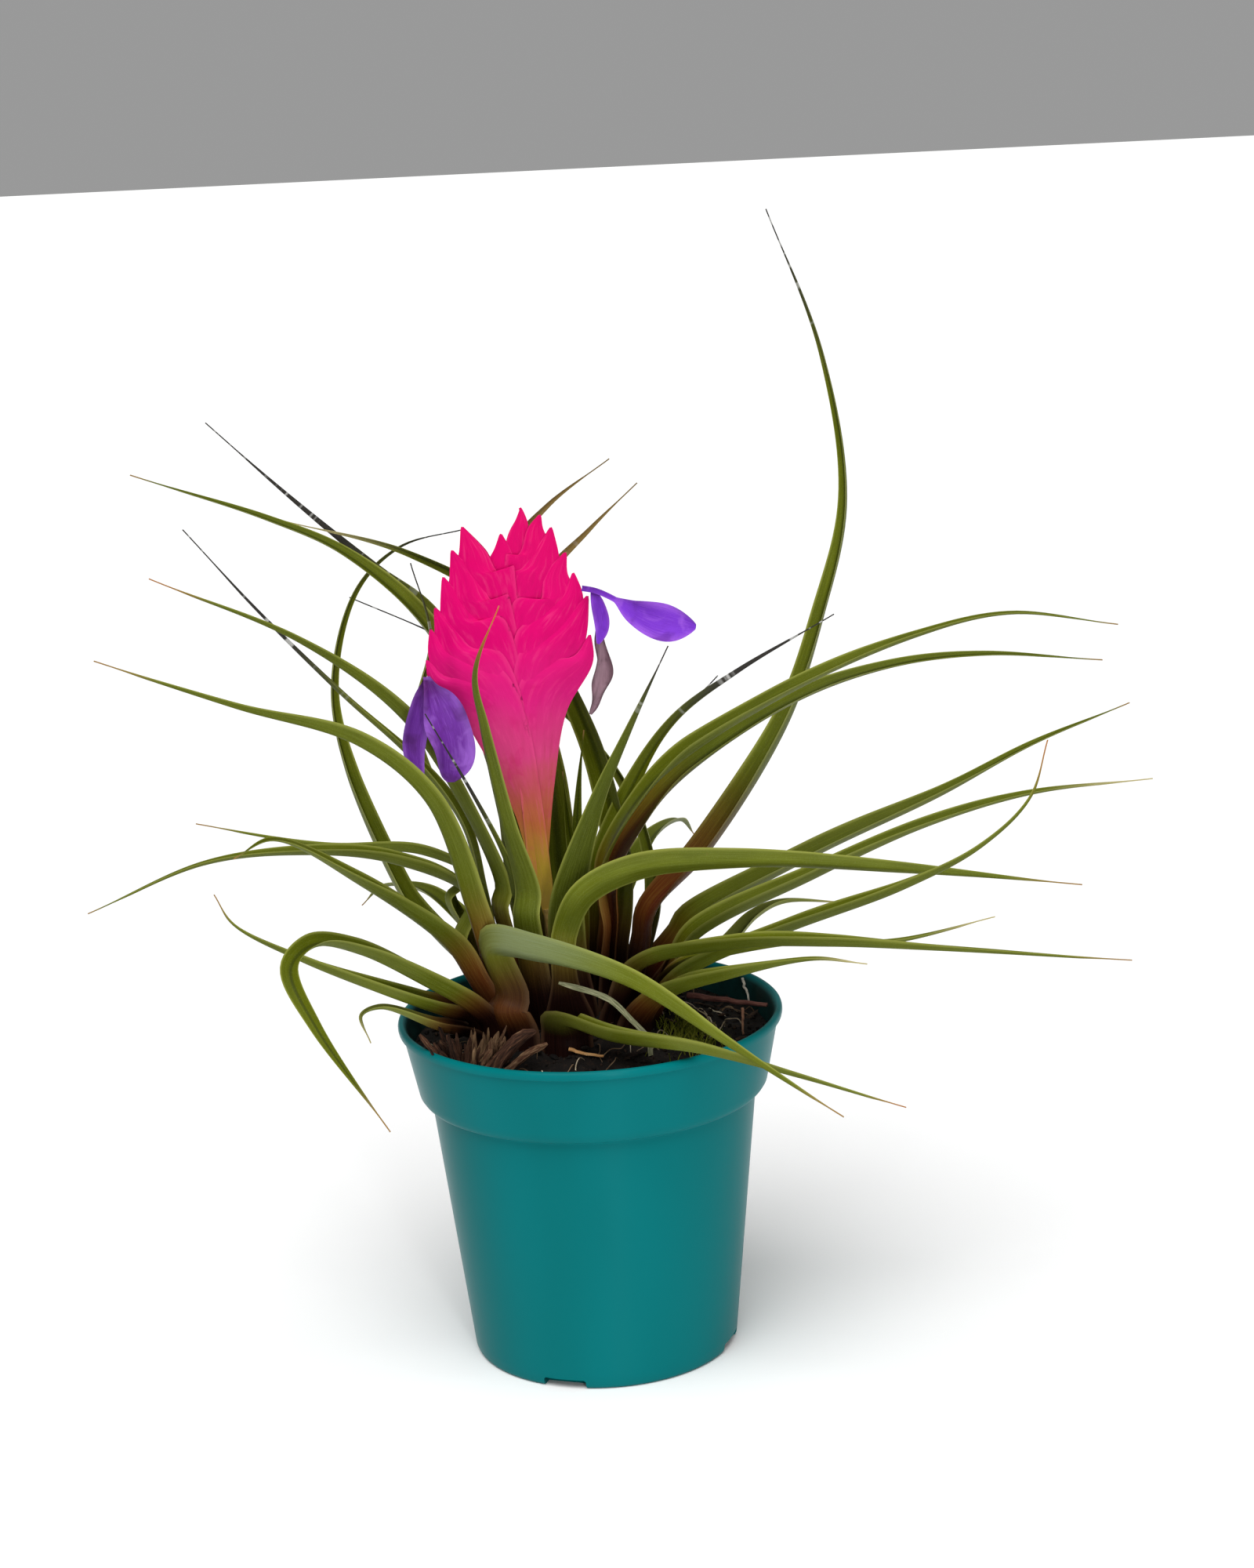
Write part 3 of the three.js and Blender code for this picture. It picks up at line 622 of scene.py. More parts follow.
@dataclass(frozen=True)
class LeafSkin:
    """Scaly strap leaf: green with a dark channel and pale edges, a maroon sheath, painted shade near the
    crown and a dry tip.
    """

    greens: Stops = (
        (0.1, ink(44, 48, 3)),
        (0.4, ink(66, 74, 4)),
        (0.65, ink(90, 97, 10)),
        (0.95, ink(114, 119, 52)),
    )
    reds: Stops = ((0.3, ink(92, 22, 15)), (0.6, ink(128, 46, 31)), (0.8, ink(150, 80, 54)))
    # dark browns of the real husk, also used as painted shade on the leaves near the crown
    sheath_and_shade_browns: Stops = ((0.3, ink(15, 5, 4)), (0.6, ink(30, 12, 8)), (0.85, ink(52, 27, 17)))
    withered: Stops = (
        (0.0, ink(184, 172, 122)),
        (0.25, ink(146, 112, 62)),
        (0.5, ink(204, 108, 56)),
        (0.66, ink(112, 92, 48)),
        (1.0, ink(48, 46, 42)),
    )
    streak: Colour = ink(112, 124, 30)
    channel: Colour = ink(36, 44, 2)
    edge: Colour = ink(148, 152, 72)
    underside: Colour = ink(104, 114, 54)
    bloom: Colour = ink(112, 124, 88)
    scale: Colour = ink(160, 170, 110)
    blemish: Colour = ink(104, 92, 40)
    husk: Colour = ink(104, 76, 56)
    glint: Colour = ink(196, 196, 192)
    gloss: float = 0.07

    def green_part(self, p: Paint, fibre: Socket, scales: Socket) -> Socket:
        """Colour the living blade.

        Args:
            p: The finish under construction.
            fibre: The noise along the leaf.
            scales: The distance to the nearest scale.

        Returns:
            The colour.
        """
        rib, tone, under = p.off_middle(), p.mark("tone"), p.mark("under")
        cloud = p.fibre(0.8, 0.06, 1.0, 2, apart=47.0)
        green = p.ramp(p.plus(p.times(tone, 0.8), p.times(cloud, 0.35)), self.greens)
        green = p.blend(p.band(fibre, 0.42, 0.72, 0.0, 0.32), green, self.streak)
        channel = p.times(p.band(rib, 0.05, 0.34, 1.0, 0.0), p.less(1.0, under))
        green = p.blend(p.times(channel, 0.66), green, self.channel)
        green = p.blend(p.band(rib, 0.78, 0.99, 0.0, 0.66), green, self.edge)
        green = p.blend(p.times(under, p.band(fibre, 0.3, 0.7, 0.05, 0.3)), green, self.underside)
        green = p.blend(p.times(p.mark("silver"), p.band(fibre, 0.25, 0.75, 0.6, 0.95)), green, self.bloom)
        green = p.blend(p.band(scales, 0.16, 0.3, 0.1, 0.0), green, self.scale)
        return p.blend(p.band(p.fibre(2.0, 0.3, 2.0), 0.66, 0.74, 0.0, 0.3), green, self.blemish)

    def make(self) -> bpy.types.Material:
        """Return the finish.

        Returns:
            The material.
        """
        p = Paint("leaf_skin")
        fibre, scales = p.fibre(9.0, 0.035, 2.2, 4, 0.6, apart=31.0), p.cells(2400)
        sheath, char = p.mark("sheath"), p.mark("char")
        colour = self.green_part(p, fibre, scales)
        blush = p.times(p.mark("blush"), p.band(fibre, 0.2, 0.8, 1.0, 0.7))
        colour = p.blend(blush, colour, p.ramp(fibre, self.reds))
        # the sheath mark holds the real husk and painted shade near the crown; both take the dark browns
        colour = p.blend(sheath, colour, p.ramp(fibre, self.sheath_and_shade_browns))
        colour = p.blend(p.times(sheath, p.band(p.off_middle(), 0.8, 0.98, 0.0, 0.35)), colour, self.husk)
        glint = p.times(p.band(p.fibre(0.0, 0.2, 1.6, 2), 0.56, 0.66), p.band(char, 0.7, 1.0, 0.1, 0.7))
        colour = p.blend(p.mark("dry"), colour, p.blend(glint, p.ramp(char, self.withered), self.glint))
        p.relief(p.times(fibre, 0.8), p.band(scales, 0.1, 0.35), share=0.3, strength=0.35, deep=0.0003)
        return p.finish(colour, p.band(fibre, 0.2, 0.8, 0.36, 0.52), self.gloss)


@dataclass(frozen=True)
class BractSkin:
    """Papery pink bracts that fade through salmon and orange to olive at the stalk."""

    heights: Pair = (0.112, 0.224)
    shades: Stops = (
        (0.02, ink(190, 112, 78)),
        (0.1, ink(204, 138, 100)),
        (0.17, ink(180, 138, 52)),
        (0.26, ink(180, 102, 56)),
        (0.34, ink(186, 84, 80)),
        (0.44, ink(202, 62, 118)),
        (0.56, ink(206, 28, 116)),
        (0.7, ink(206, 0, 102)),
        (1.0, ink(202, 0, 90)),
    )
    pale_vein: Colour = ink(255, 110, 165)
    dark_vein: Colour = ink(176, 0, 84)
    patch: Colour = ink(186, 0, 90)
    margin: Colour = ink(250, 90, 150)
    olive: Colour = ink(168, 150, 44)
    fleck: Colour = ink(244, 206, 160)
    gloss: float = 0.05

    def make(self) -> bpy.types.Material:
        """Return the finish.

        Returns:
            The material.
        """
        p = Paint("bracts")
        across, vein = p.mark("across"), p.fibre(5.0, 0.05, 2.4, 4, 0.6)
        height = p.plus(p.height(), p.times(p.less(p.grain(60), 0.5), 0.016))
        height = p.plus(height, p.times(p.less(vein, 0.5), 0.01))
        colour = p.ramp(p.slope(height, *self.heights), self.shades)
        colour = p.blend(p.band(vein, 0.5, 0.8, 0.0, 0.16), colour, self.pale_vein)
        colour = p.blend(p.band(vein, 0.5, 0.2, 0.0, 0.3), colour, self.dark_vein)
        colour = p.blend(p.band(p.grain(130, 3, 0.6, 0.5), 0.5, 0.3, 0.0, 0.35), colour, self.patch)
        colour = p.blend(p.band(across, 0.9, 1.0, 0.0, 0.16), colour, self.margin)
        green = p.times(p.mark("left"), p.band(p.height(), 0.142, 0.124, 0.0, 0.75))
        colour = p.blend(green, colour, self.olive)
        fleck = p.times(p.band(p.cells(110), 0.1, 0.05), p.band(across, 0.25, 0.1, 0.0, 0.8))
        colour = p.blend(p.times(fleck, p.band(p.grain(40, 1), 0.55, 0.62)), colour, self.fleck)
        p.relief(vein, p.grain(900, 2), share=0.2, strength=0.2, deep=0.0004)
        return p.finish(colour, p.band(vein, 0.3, 0.7, 0.5, 0.64), self.gloss)


@dataclass(frozen=True)
class PetalSkin:
    """Soft petal with fine veins and bruises, darker at its claw and paler at its edge."""

    name: str
    body: Colour
    edge: Colour
    claw: Colour
    gloss: float = 0.15

    def make(self) -> bpy.types.Material:
        """Return the finish.

        Returns:
            The material.
        """
        p = Paint(self.name)
        vein, bruise = p.fibre(6.0, 0.08, 2.4, 4, 0.6), p.grain(130, 3, 0.55, 0.6)
        colour = p.blend(p.band(p.off_middle(), 0.45, 1.0, 0.0, 0.7), self.body, self.edge)
        colour = p.blend(p.band(p.mark("part"), 0.34, 0.02, 0.0, 0.85), colour, self.claw)
        colour = p.blend(p.band(vein, 0.5, 0.78, 0.0, 0.45), colour, self.edge)
        colour = p.blend(p.band(vein, 0.46, 0.22, 0.0, 0.45), colour, self.claw)
        colour = p.blend(p.band(bruise, 0.5, 0.68, 0.0, 0.6), colour, self.claw)
        colour = p.blend(p.band(bruise, 0.44, 0.3, 0.0, 0.5), colour, self.edge)
        p.relief(vein, p.grain(1200, 2), share=0.2, strength=0.4, deep=0.0004)
        return p.finish(colour, p.band(vein, 0.3, 0.7, 0.5, 0.66), self.gloss)


@dataclass
class NurseryPot:
    """Round thin-walled pot with a deep collar, four notches at its foot and four drain holes."""

    rim: float = 50.0
    height: float = 91.0
    base: float = 34.7
    collar_foot: float = 45.2
    collar_bottom: float = 70.4
    body_top: float = 42.5
    lip: float = 0.6  # how far the rim stands out from the collar
    wall: float = 1.3
    floor: float = 1.6
    sides: int = 180
    openings: int = 4
    first_notch: float = 251.5
    notch_width: float = 11.4
    notch_height: float = 2.5
    notch_corner: float = 0.5
    first_drain: float = 45.0
    drain_radius: float = 3.0
    drain_circle: float = 17.0
    drain_sides: int = 28
    cut: float = 4.0  # how far a cut reaches either way
    axis: float = 0.02  # radius of the pin hole that closes the turned outline

    def body_radius(self, z: float) -> float:
        """Return the outer radius of the lower body at a height."""
        return self.base + (self.body_top - self.base) * z / self.collar_bottom

    def collar_radius(self, z: float) -> float:
        """Return the outer radius of the collar at a height."""
        share = (z - self.collar_bottom) / (self.height - self.collar_bottom)
        return self.collar_foot + (self.rim - self.lip - self.collar_foot) * share

    def inner_radius(self, z: float) -> float:
        """Return the radius of the inside at a height.

        Args:
            z: The height.

        Returns:
            The radius.
        """
        if z < self.collar_bottom:
            return self.body_radius(z) - self.wall
        step = smooth(z, self.collar_bottom, self.collar_bottom + 1.5)
        return float(mix(self.body_top, self.collar_radius(z), step)) - self.wall

    def profile(self) -> list[Pair]:
        """Return the turned outline.

        Returns:
            Radii and heights, from the middle of the base round the rim to the middle of the floor.
        """
        low, top, rim, foot = self.collar_bottom, self.height, self.rim, self.collar_foot
        body, collar, inner = self.body_radius, self.collar_radius, self.inner_radius
        line = [(self.axis, 0.0), (20, 0.0)]
        line += [(self.base - 1.4, 0.0), (self.base - 0.7, 0.12), (self.base - 0.2, 0.5)]
        line += [(body(z), z) for z in (1.3, *np.linspace(4, low - 1.2, 24), low - 0.5)]
        line += [(self.body_top + 0.25, low - 0.12), (foot - 1.5, low)]
        line += [(foot - 0.7, low + 0.2), (foot - 0.25, low + 0.7)]
        line += [(collar(z), z) for z in (low + 1.6, *np.linspace(low + 3, top - 3.2, 9), top - 2.5)]
        line += [(rim - 0.15, top - 2.1), (rim, top - 1.5), (rim, top - 0.9), (rim - 0.15, top - 0.4)]
        line += [(rim - 0.45, top - 0.1), (rim - 0.8, top), (rim - 1.3, top - 0.02), (rim - 1.65, top - 0.3)]
        line += [(inner(top - 2), top - 1.6)]
        line += [(inner(z), z) for z in np.linspace(top - 3, low + 1.6, 8)]
        line += [(inner(z), z) for z in np.linspace(low - 0.5, self.floor + 0.6, 8)]
        return line + [(inner(self.floor) - 0.5, self.floor), (20, self.floor), (self.axis, self.floor)]

    def notch(self, angle: float) -> Shell:
        """Shape the block that is cut out of the foot for one notch.

        Args:
            angle: Where it is round the pot.

        Returns:
            The block.
        """
        side = np.array([-math.sin(angle), math.cos(angle), 0])
        half, top, corner, low = self.notch_width / 2, self.notch_height, self.notch_corner, -3
        outline = [(-half, low), (-half, top - corner), (corner - half, top)]
        outline += [(half - corner, top), (half, top - corner), (half, low)]
        rings = []
        for reach in (-self.cut, self.cut):
            middle = around(self.base + reach, angle)
            rings.append([middle + side * a + (0, 0, b) for a, b in outline])
        block = Shell()
        block.add_rings(np.array(rings))
        return block

    def drain(self, angle: float) -> Shell:
        """Shape the rod that is cut out of the floor for one drain hole.

        Args:
            angle: Where it is round the pot.

        Returns:
            The rod.
        """
        centre, turns = around(self.drain_circle, angle), ring_angles(self.drain_sides)
        rings = [[centre + around(self.drain_radius, a, z) for a in turns] for z in (-self.cut, self.cut)]
        rod = Shell()
        rod.add_rings(np.array(rings))
        return rod

    def build(self) -> bpy.types.Mesh:
        """Turn the pot and cut its notches and holes.

        Returns:
            The pot's mesh, with its inside marked.
        """
        shell, turns = Shell(), ring_angles(self.sides)
        rings = np.array([[around(r, a, z) for a in turns] for r, z in self.profile()])
        shell.add_rings(rings[::-1])
        body = bpy.data.objects.new("pot_blank", shell.mesh("pot_blank"))
        bpy.context.scene.collection.objects.link(body)
        tools = []
        for k in range(self.openings):
            turn = 360 / self.openings * k
            tools.append(self.notch(math.radians(self.first_notch + turn)))
            tools.append(self.drain(math.radians(self.first_drain + turn)))
        for k, cut in enumerate(tools):
            tool = bpy.data.objects.new(f"cut_{k}", cut.mesh(f"cut_{k}"))
            bpy.context.scene.collection.objects.link(tool)
            step = body.modifiers.new(tool.name, "BOOLEAN")
            step.operation, step.solver, step.object = "DIFFERENCE", "EXACT", tool
        bpy.context.view_layer.update()
        made = bpy.data.meshes.new_from_object(body.evaluated_get(bpy.context.evaluated_depsgraph_get()))
        made.name = "pot_shell"
        inside = made.attributes.new("inside", "FLOAT", "POINT")
        for spot, vertex in zip(inside.data, made.vertices):
            x, y, z = vertex.co / MM
            if 1 < z < self.height - 1:
                spot.value = 1 - float(smooth(math.hypot(x, y) - self.inner_radius(z), 0.2, 0.5))
        for thing in (*[step.object for step in body.modifiers], body):
            bpy.data.objects.remove(thing)
        return made

    def dress(self) -> None:
        """Build the pot and give it its finish."""
        place(self.build(), PotPlastic().make(), ["pot"], crease=35)


@dataclass(frozen=True)
class Grit:
    """One kind of loose grain: how many there are, their sizes, how pale they get and their fixed stretch."""

    many: int
    size: Pair
    pale: float
    stretch: Point | None = None


@dataclass
class PottingMix:
    """The filling: a rough surface that mounds up round the crown, with crumbs, roots and moss on it."""

    pot: NurseryPot
    edge: float = 83.5
    mound: float = 8.0
    mound_span: Pair = (14.0, 42.0)
    lumps: Pair = (7.0, 1.1)  # width and height of the large lumps
    grit: Pair = (1.6, 0.35)  # width and height of the small ones
    gap: float = 0.3
    rings: int = 58
    spokes: int = 200
    open_radius: float = 46.5
    crown_at: float = -5.0
    crumbs: Grit = Grit(900, (0.35, 1.15), 0.5)
    chips: Grit = Grit(150, (1.2, 3.0), 0.75, (2.2, 0.9, 0.4))
    layers: tuple[Pair, ...] = ((-0.9, 0.5), (-0.3, 1.0), (0.45, 0.85), (0.95, 0.4))  # a grain's rings
    corners: int = 7
    roots: int = 110
    root_radius: Pair = (0.12, 0.28)
    moss: int = 340
    moss_at: Pair = (25.0, -15.0)
    moss_spread: float = 4.2
    moss_radii: Pair = (0.22, 0.06)
    seed: int = 7
    crumb_skin: BarkFinish = BarkFinish("crumbs", ink(10, 7, 6), ink(34, 24, 18), ink(96, 70, 50))
    root_skin: BarkFinish = BarkFinish("fine_roots", ink(62, 46, 34), ink(128, 104, 78), ink(206, 196, 170))
    moss_skin: BarkFinish = BarkFinish("moss", ink(48, 54, 6), ink(96, 104, 16), ink(150, 150, 50))

    def surface(self, x: float, y: float) -> float:
        """Return the height of the surface at a place.

        Args:
            x: The place to the right.
            y: The place to the back.

        Returns:
            The height.
        """
        out, (wide, high), (fine, low) = math.hypot(x, y), self.lumps, self.grit
        level = self.edge + self.mound * (1 - float(smooth(out, *self.mound_span)))
        lumps = noise.fractal(Vector((x / wide, y / wide, 3.1)), 0.9, 2.1, 4)
        grit = noise.noise(Vector((x / fine, y / fine, 9.4)))
        return level + high * lumps * float(smooth(48.5 - out, 0, 6)) + low * grit

    def build(self) -> bpy.types.Mesh:
        """Shape the filling.

        Returns:
            The filling's mesh.
        """
        angles, rows = ring_angles(self.spokes), []
        for r in np.linspace(self.gap, self.pot.inner_radius(self.edge) - self.gap, self.rings):
            rows.append([(x, y, self.surface(x, y)) for x, y, _ in (around(r, a) for a in angles)])
        shoulder = self.pot.collar_bottom
        for z in (shoulder + 1.5, shoulder - 0.5, self.pot.floor + self.gap):
            rows.append([around(self.pot.inner_radius(z) - self.gap, a, z) for a in angles])
        shell = Shell()
        shell.add_rings(np.array(rows)[::-1])
        return shell.mesh("soil_filling")

    def scattered(self, random: np.random.Generator, many: int, inner: float) -> list[Pair]:
        """Spread places over the open surface, off the crown.

        Args:
            random: Where the places come from.
            many: How many there are.
            inner: How far they keep from the crown's axis.

        Returns:
            The places.
        """
        found: list[Pair] = []
        while len(found) < many:
            x, y = random.uniform(-47, 47, 2)
            if math.hypot(x, y) < self.open_radius and math.hypot(x - self.crown_at, y) > inner:
                found.append((float(x), float(y)))
        return found

    def build_crumbs(self) -> bpy.types.Mesh:
        """Shape the loose crumbs and bark chips.

        Returns:
            All of them as one mesh.
        """
        random, shell, angles = np.random.default_rng(self.seed), Shell(), ring_angles(self.corners)
        for k, (x, y) in enumerate(self.scattered(random, self.crumbs.many + self.chips.many, 16.0)):
            kind = self.chips if k >= self.crumbs.many else self.crumbs
            size = random.uniform(*kind.size)
            turn, tilt = random.uniform(0, math.pi), random.uniform(-0.5, 0.5)
            stretch = np.array(kind.stretch) if kind.stretch else random.uniform(0.7, 1.3, 3)
            rings = []
            for level, wide in self.layers:
                jag = wide * random.uniform(0.75, 1.25, self.corners)
                flat = (jag * np.cos(angles), jag * np.sin(angles))
                rings.append(np.stack([*flat, np.full(self.corners, level)], 1))
            body = np.array(rings) * stretch * size * 0.5
            body[..., 2] += body[..., 0] * tilt
            spin = np.array([around(1, turn), (-math.sin(turn), math.cos(turn), 0), (0, 0, 1)])
            body = body @ spin + np.array([x, y, self.surface(x, y) + 0.25 * size])
            shade = float(random.uniform(0.0, kind.pale))
            shell.add_rings(body, run=body[..., 0] * 2, across=body[..., 1] * 0.4, shade=shade, tone=float(k))
        return shell.mesh("soil_crumbs")

    def build_roots(self) -> bpy.types.Mesh:
        """Shape the fine pale and brown roots that lie on the surface.

        Returns:
            All of them as one mesh.
        """
        random, shell = np.random.default_rng(self.seed + 1), Shell()
        for k, (x, y) in enumerate(self.scattered(random, self.roots, 14.0)):
            turn, length = random.uniform(0, CIRCLE), random.uniform(3, 11)
            points = []
            for step in range(5):
                lift = 0.35 + (random.uniform(0.2, 1.6) if step in (1, 2, 3) else -0.6)
                points.append((x, y, self.surface(x, y) + lift))
                turn += random.uniform(-0.8, 0.8)
                x, y = x + math.cos(turn) * length / 4, y + math.sin(turn) * length / 4
            if max(math.hypot(p[0], p[1]) for p in points) > self.open_radius + 0.7:
                continue
            thick = random.uniform(*self.root_radius)
            shade = float(random.uniform(0.1, 1.0))
            shell.add_rod(Strand(points, 8), (thick, thick * 0.5), 14, 6, shade=shade, tone=float(k))
        return shell.mesh("soil_roots")

    def build_moss(self) -> bpy.types.Mesh:
        """Shape the patch of moss, of short curved blades.

        Returns:
            The patch as one mesh.
        """
        random, shell = np.random.default_rng(self.seed + 2), Shell()
        for k in range(self.moss):
            x, y = (random.normal(middle, self.moss_spread) for middle in self.moss_at)
            lean, tall = random.uniform(0, CIRCLE), random.uniform(1.4, 3.6)
            foot = np.array([x, y, self.surface(x, y) - 0.3])
            bend = around(1, lean) * tall * 0.5
            points = [foot, foot + (0, 0, tall * 0.6) + bend * 0.35, foot + (0, 0, tall) + bend]
            shade = float(random.uniform(0.2, 1.0))
            shell.add_rod(Strand(points, 6), self.moss_radii, 5, 5, shade=shade, tone=float(k))
        return shell.mesh("soil_moss")

    def dress(self) -> None:
        """Build the filling and what lies loose on it."""
        place(self.build(), PottingMixFinish().make(), ["soil"])
        place(self.build_crumbs(), self.crumb_skin.make(), crease=70)
        place(self.build_roots(), self.root_skin.make())
        place(self.build_moss(), self.moss_skin.make())


class Tip(Enum):
    """How a leaf ends: where it starts to dry, and how charred the dry part is."""

    GREEN = (0.96, 0.3)
    PALE = (0.8, 0.0)
    TAN = (0.88, 0.25)
    BROWN = (0.88, 0.32)
    ORANGE = (0.84, 0.5)
    OLIVE = (0.5, 0.66)
    NEEDLE = (0.55, 1.0)
    DARK = (0.76, 1.0)


class Tone(Enum):
    """How light a leaf's green is, from 0 to 1."""

    SHADED = 0.12
    DEEP = 0.3
    MID = 0.45
    FRESH = 0.62
    SILVER = 0.95


@dataclass(frozen=True)
class Leaf:
    """One leaf: its flat width, its midrib from the shoulder to the tip, and how it looks."""

    width: float
    midrib: tuple[Point, ...]
    tip: Tip = Tip.GREEN
    tone: Tone = Tone.MID
    blush: float = 14.0  # how far up it is red
    silver: float = 0.0  # the part of its length where its silvery bloom ends
    neck: float = 1.0  # share of its width just above the sheath
    slim: float = 1.0  # share of its width further up
    crown_shade: float = 1.0  # how strongly painted shade darkens it near the crown


LEAVES = [
    Leaf(10, ((-1, 5, 123), (-3, 6, 138), (-4, 8, 153)), Tip.GREEN, Tone.DEEP),
    Leaf(7, ((-2, 9, 124), (0, 12, 148), (2, 15, 162)), Tip.GREEN, Tone.DEEP),
    Leaf(11, ((-7, 18, 147), (-11, 25, 178), (-7, 31, 198), (6, 36, 211), (19, 40, 222)), Tip.OLIVE),
    Leaf(
        13,
        ((6, 1, 131), (18, -1, 150), (49, -4, 171), (86, -7, 187), (110, -8, 192), (137, -9, 188)),
        blush=34,
    ),
    Leaf(12.5, ((-20, 12, 152), (-38, 27, 189), (-58, 33, 208), (-78, 35, 218), (-113, 37, 231))),
    Leaf(
        12,
        ((9, 6, 130), (23, 8, 147), (54, 10, 167), (81, 10, 176), (106, 10, 178), (136, 10, 175)),
        blush=48,
    ),
    Leaf(11, ((-4, -13, 124), (4, -22, 150), (13, -31, 171), (24, -38, 194)), Tip.DARK, Tone.DEEP),
    Leaf(12.5, ((-17, 18, 144), (-36, 38, 189), (-51, 42, 202), (-71, 46, 220), (-94, 50, 242)), Tip.NEEDLE),
    Leaf(11, ((6, 14, 128), (14, 17, 146), (26, 22, 162), (43, 27, 173), (69, 32, 186)), Tip.NEEDLE),
    Leaf(6, ((-18, -14, 134), (-26, -22, 156), (-36, -28, 178)), Tip.NEEDLE, Tone.SHADED),
    Leaf(11, ((-14, 27, 144), (-20, 34, 178), (-15, 43, 205), (-5, 47, 216), (12, 52, 227)), Tip.OLIVE),
    Leaf(
        13,
        ((-21, -7, 127), (-33, -5, 156), (-45, -4, 174), (-68, -8, 194), (-103, -12, 212)),
        Tip.BROWN,
        blush=26,
    ),
    Leaf(
        9.5,
        ((-14, -17, 128), (-18, -24, 148), (-22, -31, 175), (-23, -35, 189), (-16, -39, 206)),
        Tip.ORANGE,
        Tone.DEEP,
    ),
    Leaf(
        11,
        ((-5, -20, 118), (0, -22, 128), (12, -23, 134), (39, -29, 137), (79, -36, 135), (122, -44, 131)),
        Tip.TAN,
        neck=0.62,
    ),
    Leaf(11.5, ((10, 16, 127), (3, 22, 160), (-13, 33, 189), (-42, 42, 206), (-74, 42, 216)), Tip.PALE),
    Leaf(9.5, ((-30, 2, 142), (-42, 5, 159), (-59, 8, 176), (-78, 10, 197), (-97, 12, 220)), Tip.NEEDLE),
    Leaf(7, ((9, 20, 129), (21, 30, 154), (38, 37, 170)), Tip.NEEDLE, Tone.SILVER),
    Leaf(9.5, ((-34, 13, 135), (-42, 17, 164), (-36, 14, 189), (-40, 15, 208)), Tip.DARK, Tone.SILVER),
    Leaf(8.5, ((-29, 2, 128), (-41, 8, 133), (-66, 19, 133), (-102, 27, 139)), Tip.TAN, Tone.FRESH),
    Leaf(
        13,
        ((-29, -18, 126), (-37, -24, 155), (-53, -23, 170), (-82, -28, 182), (-115, -32, 196)),
        Tip.TAN,
        blush=30,
    ),
    Leaf(11, ((-29, -4, 124), (-48, -6, 135), (-71, -12, 140), (-95, -14, 139), (-125, -16, 128))),
    Leaf(
        13,
        (
            *((17, 9, 114), (32, 16, 127), (55, 28, 158), (66, 38, 184)),
            *((74, 48, 213), (70, 60, 251), (57, 72, 289)),
        ),
        Tip.DARK,
        blush=48,
    ),
    Leaf(
        9.5,
        ((19, 20, 114), (15, 30, 136), (4, 38, 154), (-18, 46, 172), (-38, 54, 182), (-60, 58, 192)),
        Tip.NEEDLE,
        Tone.FRESH,
        slim=0.55,
    ),
    Leaf(14.5, ((-35, -16, 115), (-54, -36, 138), (-72, -58, 156), (-80, -70, 155)), blush=24),
    Leaf(11.5, ((13, -18, 107), (37, -32, 116), (60, -44, 119), (86, -52, 119), (131, -62, 117)), Tip.TAN),
    Leaf(
        13.5,
        ((-21, -19, 102), (-24, -22, 115), (-13, -31, 116), (10, -42, 111), (32, -56, 100), (60, -76, 86)),
        Tip.TAN,
        Tone.FRESH,
        blush=18,
        silver=0.42,
    ),
    Leaf(13, ((28, 13, 109), (60, 16, 125), (94, 22, 138), (120, 26, 150), (146, 29, 159)), blush=20),
    Leaf(
        10,
        ((-49, 23, 119), (-61, 28, 151), (-64, 36, 173), (-57, 46, 196), (-45, 53, 206), (-28, 58, 209)),
        Tip.DARK,
    ),
    Leaf(12, ((28, 2, 108), (59, 2, 123), (89, 4, 135), (117, 5, 142), (148, 6, 144)), Tip.PALE),
    Leaf(9.5, ((20, -7, 101), (48, -13, 110), (76, -19, 111), (103, -24, 118)), Tip.PALE, Tone.FRESH),
    Leaf(
        11,
        ((28, -17, 106), (51, -30, 119), (78, -46, 133), (96, -58, 146), (107, -64, 159), (111, -66, 173)),
        Tip.BROWN,
    ),
    Leaf(
        12,
        ((-41, -24, 108), (-55, -38, 121), (-65, -50, 127), (-70, -60, 124), (-64, -70, 113), (-47, -82, 90)),
        Tip.TAN,
    ),
    Leaf(11, ((-9, 30, 108), (-14, 62, 124), (-20, 96, 124), (-22, 124, 112)), Tip.TAN),
    Leaf(
        11,
        ((-6, -29, 97), (6, -34, 94), (28, -50, 95), (50, -62, 92), (75, -74, 87)),
        Tip.BROWN,
        Tone.FRESH,
        blush=5,
        crown_shade=0.3,
    ),
    Leaf(13, ((20, -24, 101), (35, -38, 110), (56, -52, 118), (68, -58, 118)), Tip.PALE, Tone.FRESH),
    Leaf(11, ((7, 32, 106), (18, 64, 118), (27, 94, 116), (32, 120, 104)), Tip.BROWN),
    Leaf(
        9.5,
        ((24, 8, 97.5), (36, 16, 100), (45, 23, 107), (53, 29, 109), (71, 36, 106)),
        Tip.PALE,
        Tone.SILVER,
    ),
    Leaf(9.5, ((-28, 30, 100), (-44, 58, 108), (-58, 82, 104), (-66, 98, 94)), Tip.TAN),
    Leaf(
        12,
        ((-36, -14, 96), (-49, -24, 105), (-71, -31, 118), (-86, -35, 129), (-90, -36, 137)),
        Tip.TAN,
        Tone.FRESH,
    ),
    Leaf(7, ((-38, -19, 94), (-52, -24, 102), (-57, -27, 101), (-55, -28, 94)), Tip.PALE, Tone.SILVER),
]


@dataclass
class Strip:
    """The mark that a leaf makes round the crown's axis at one height."""

    bearing: float
    radius: float
    width: float


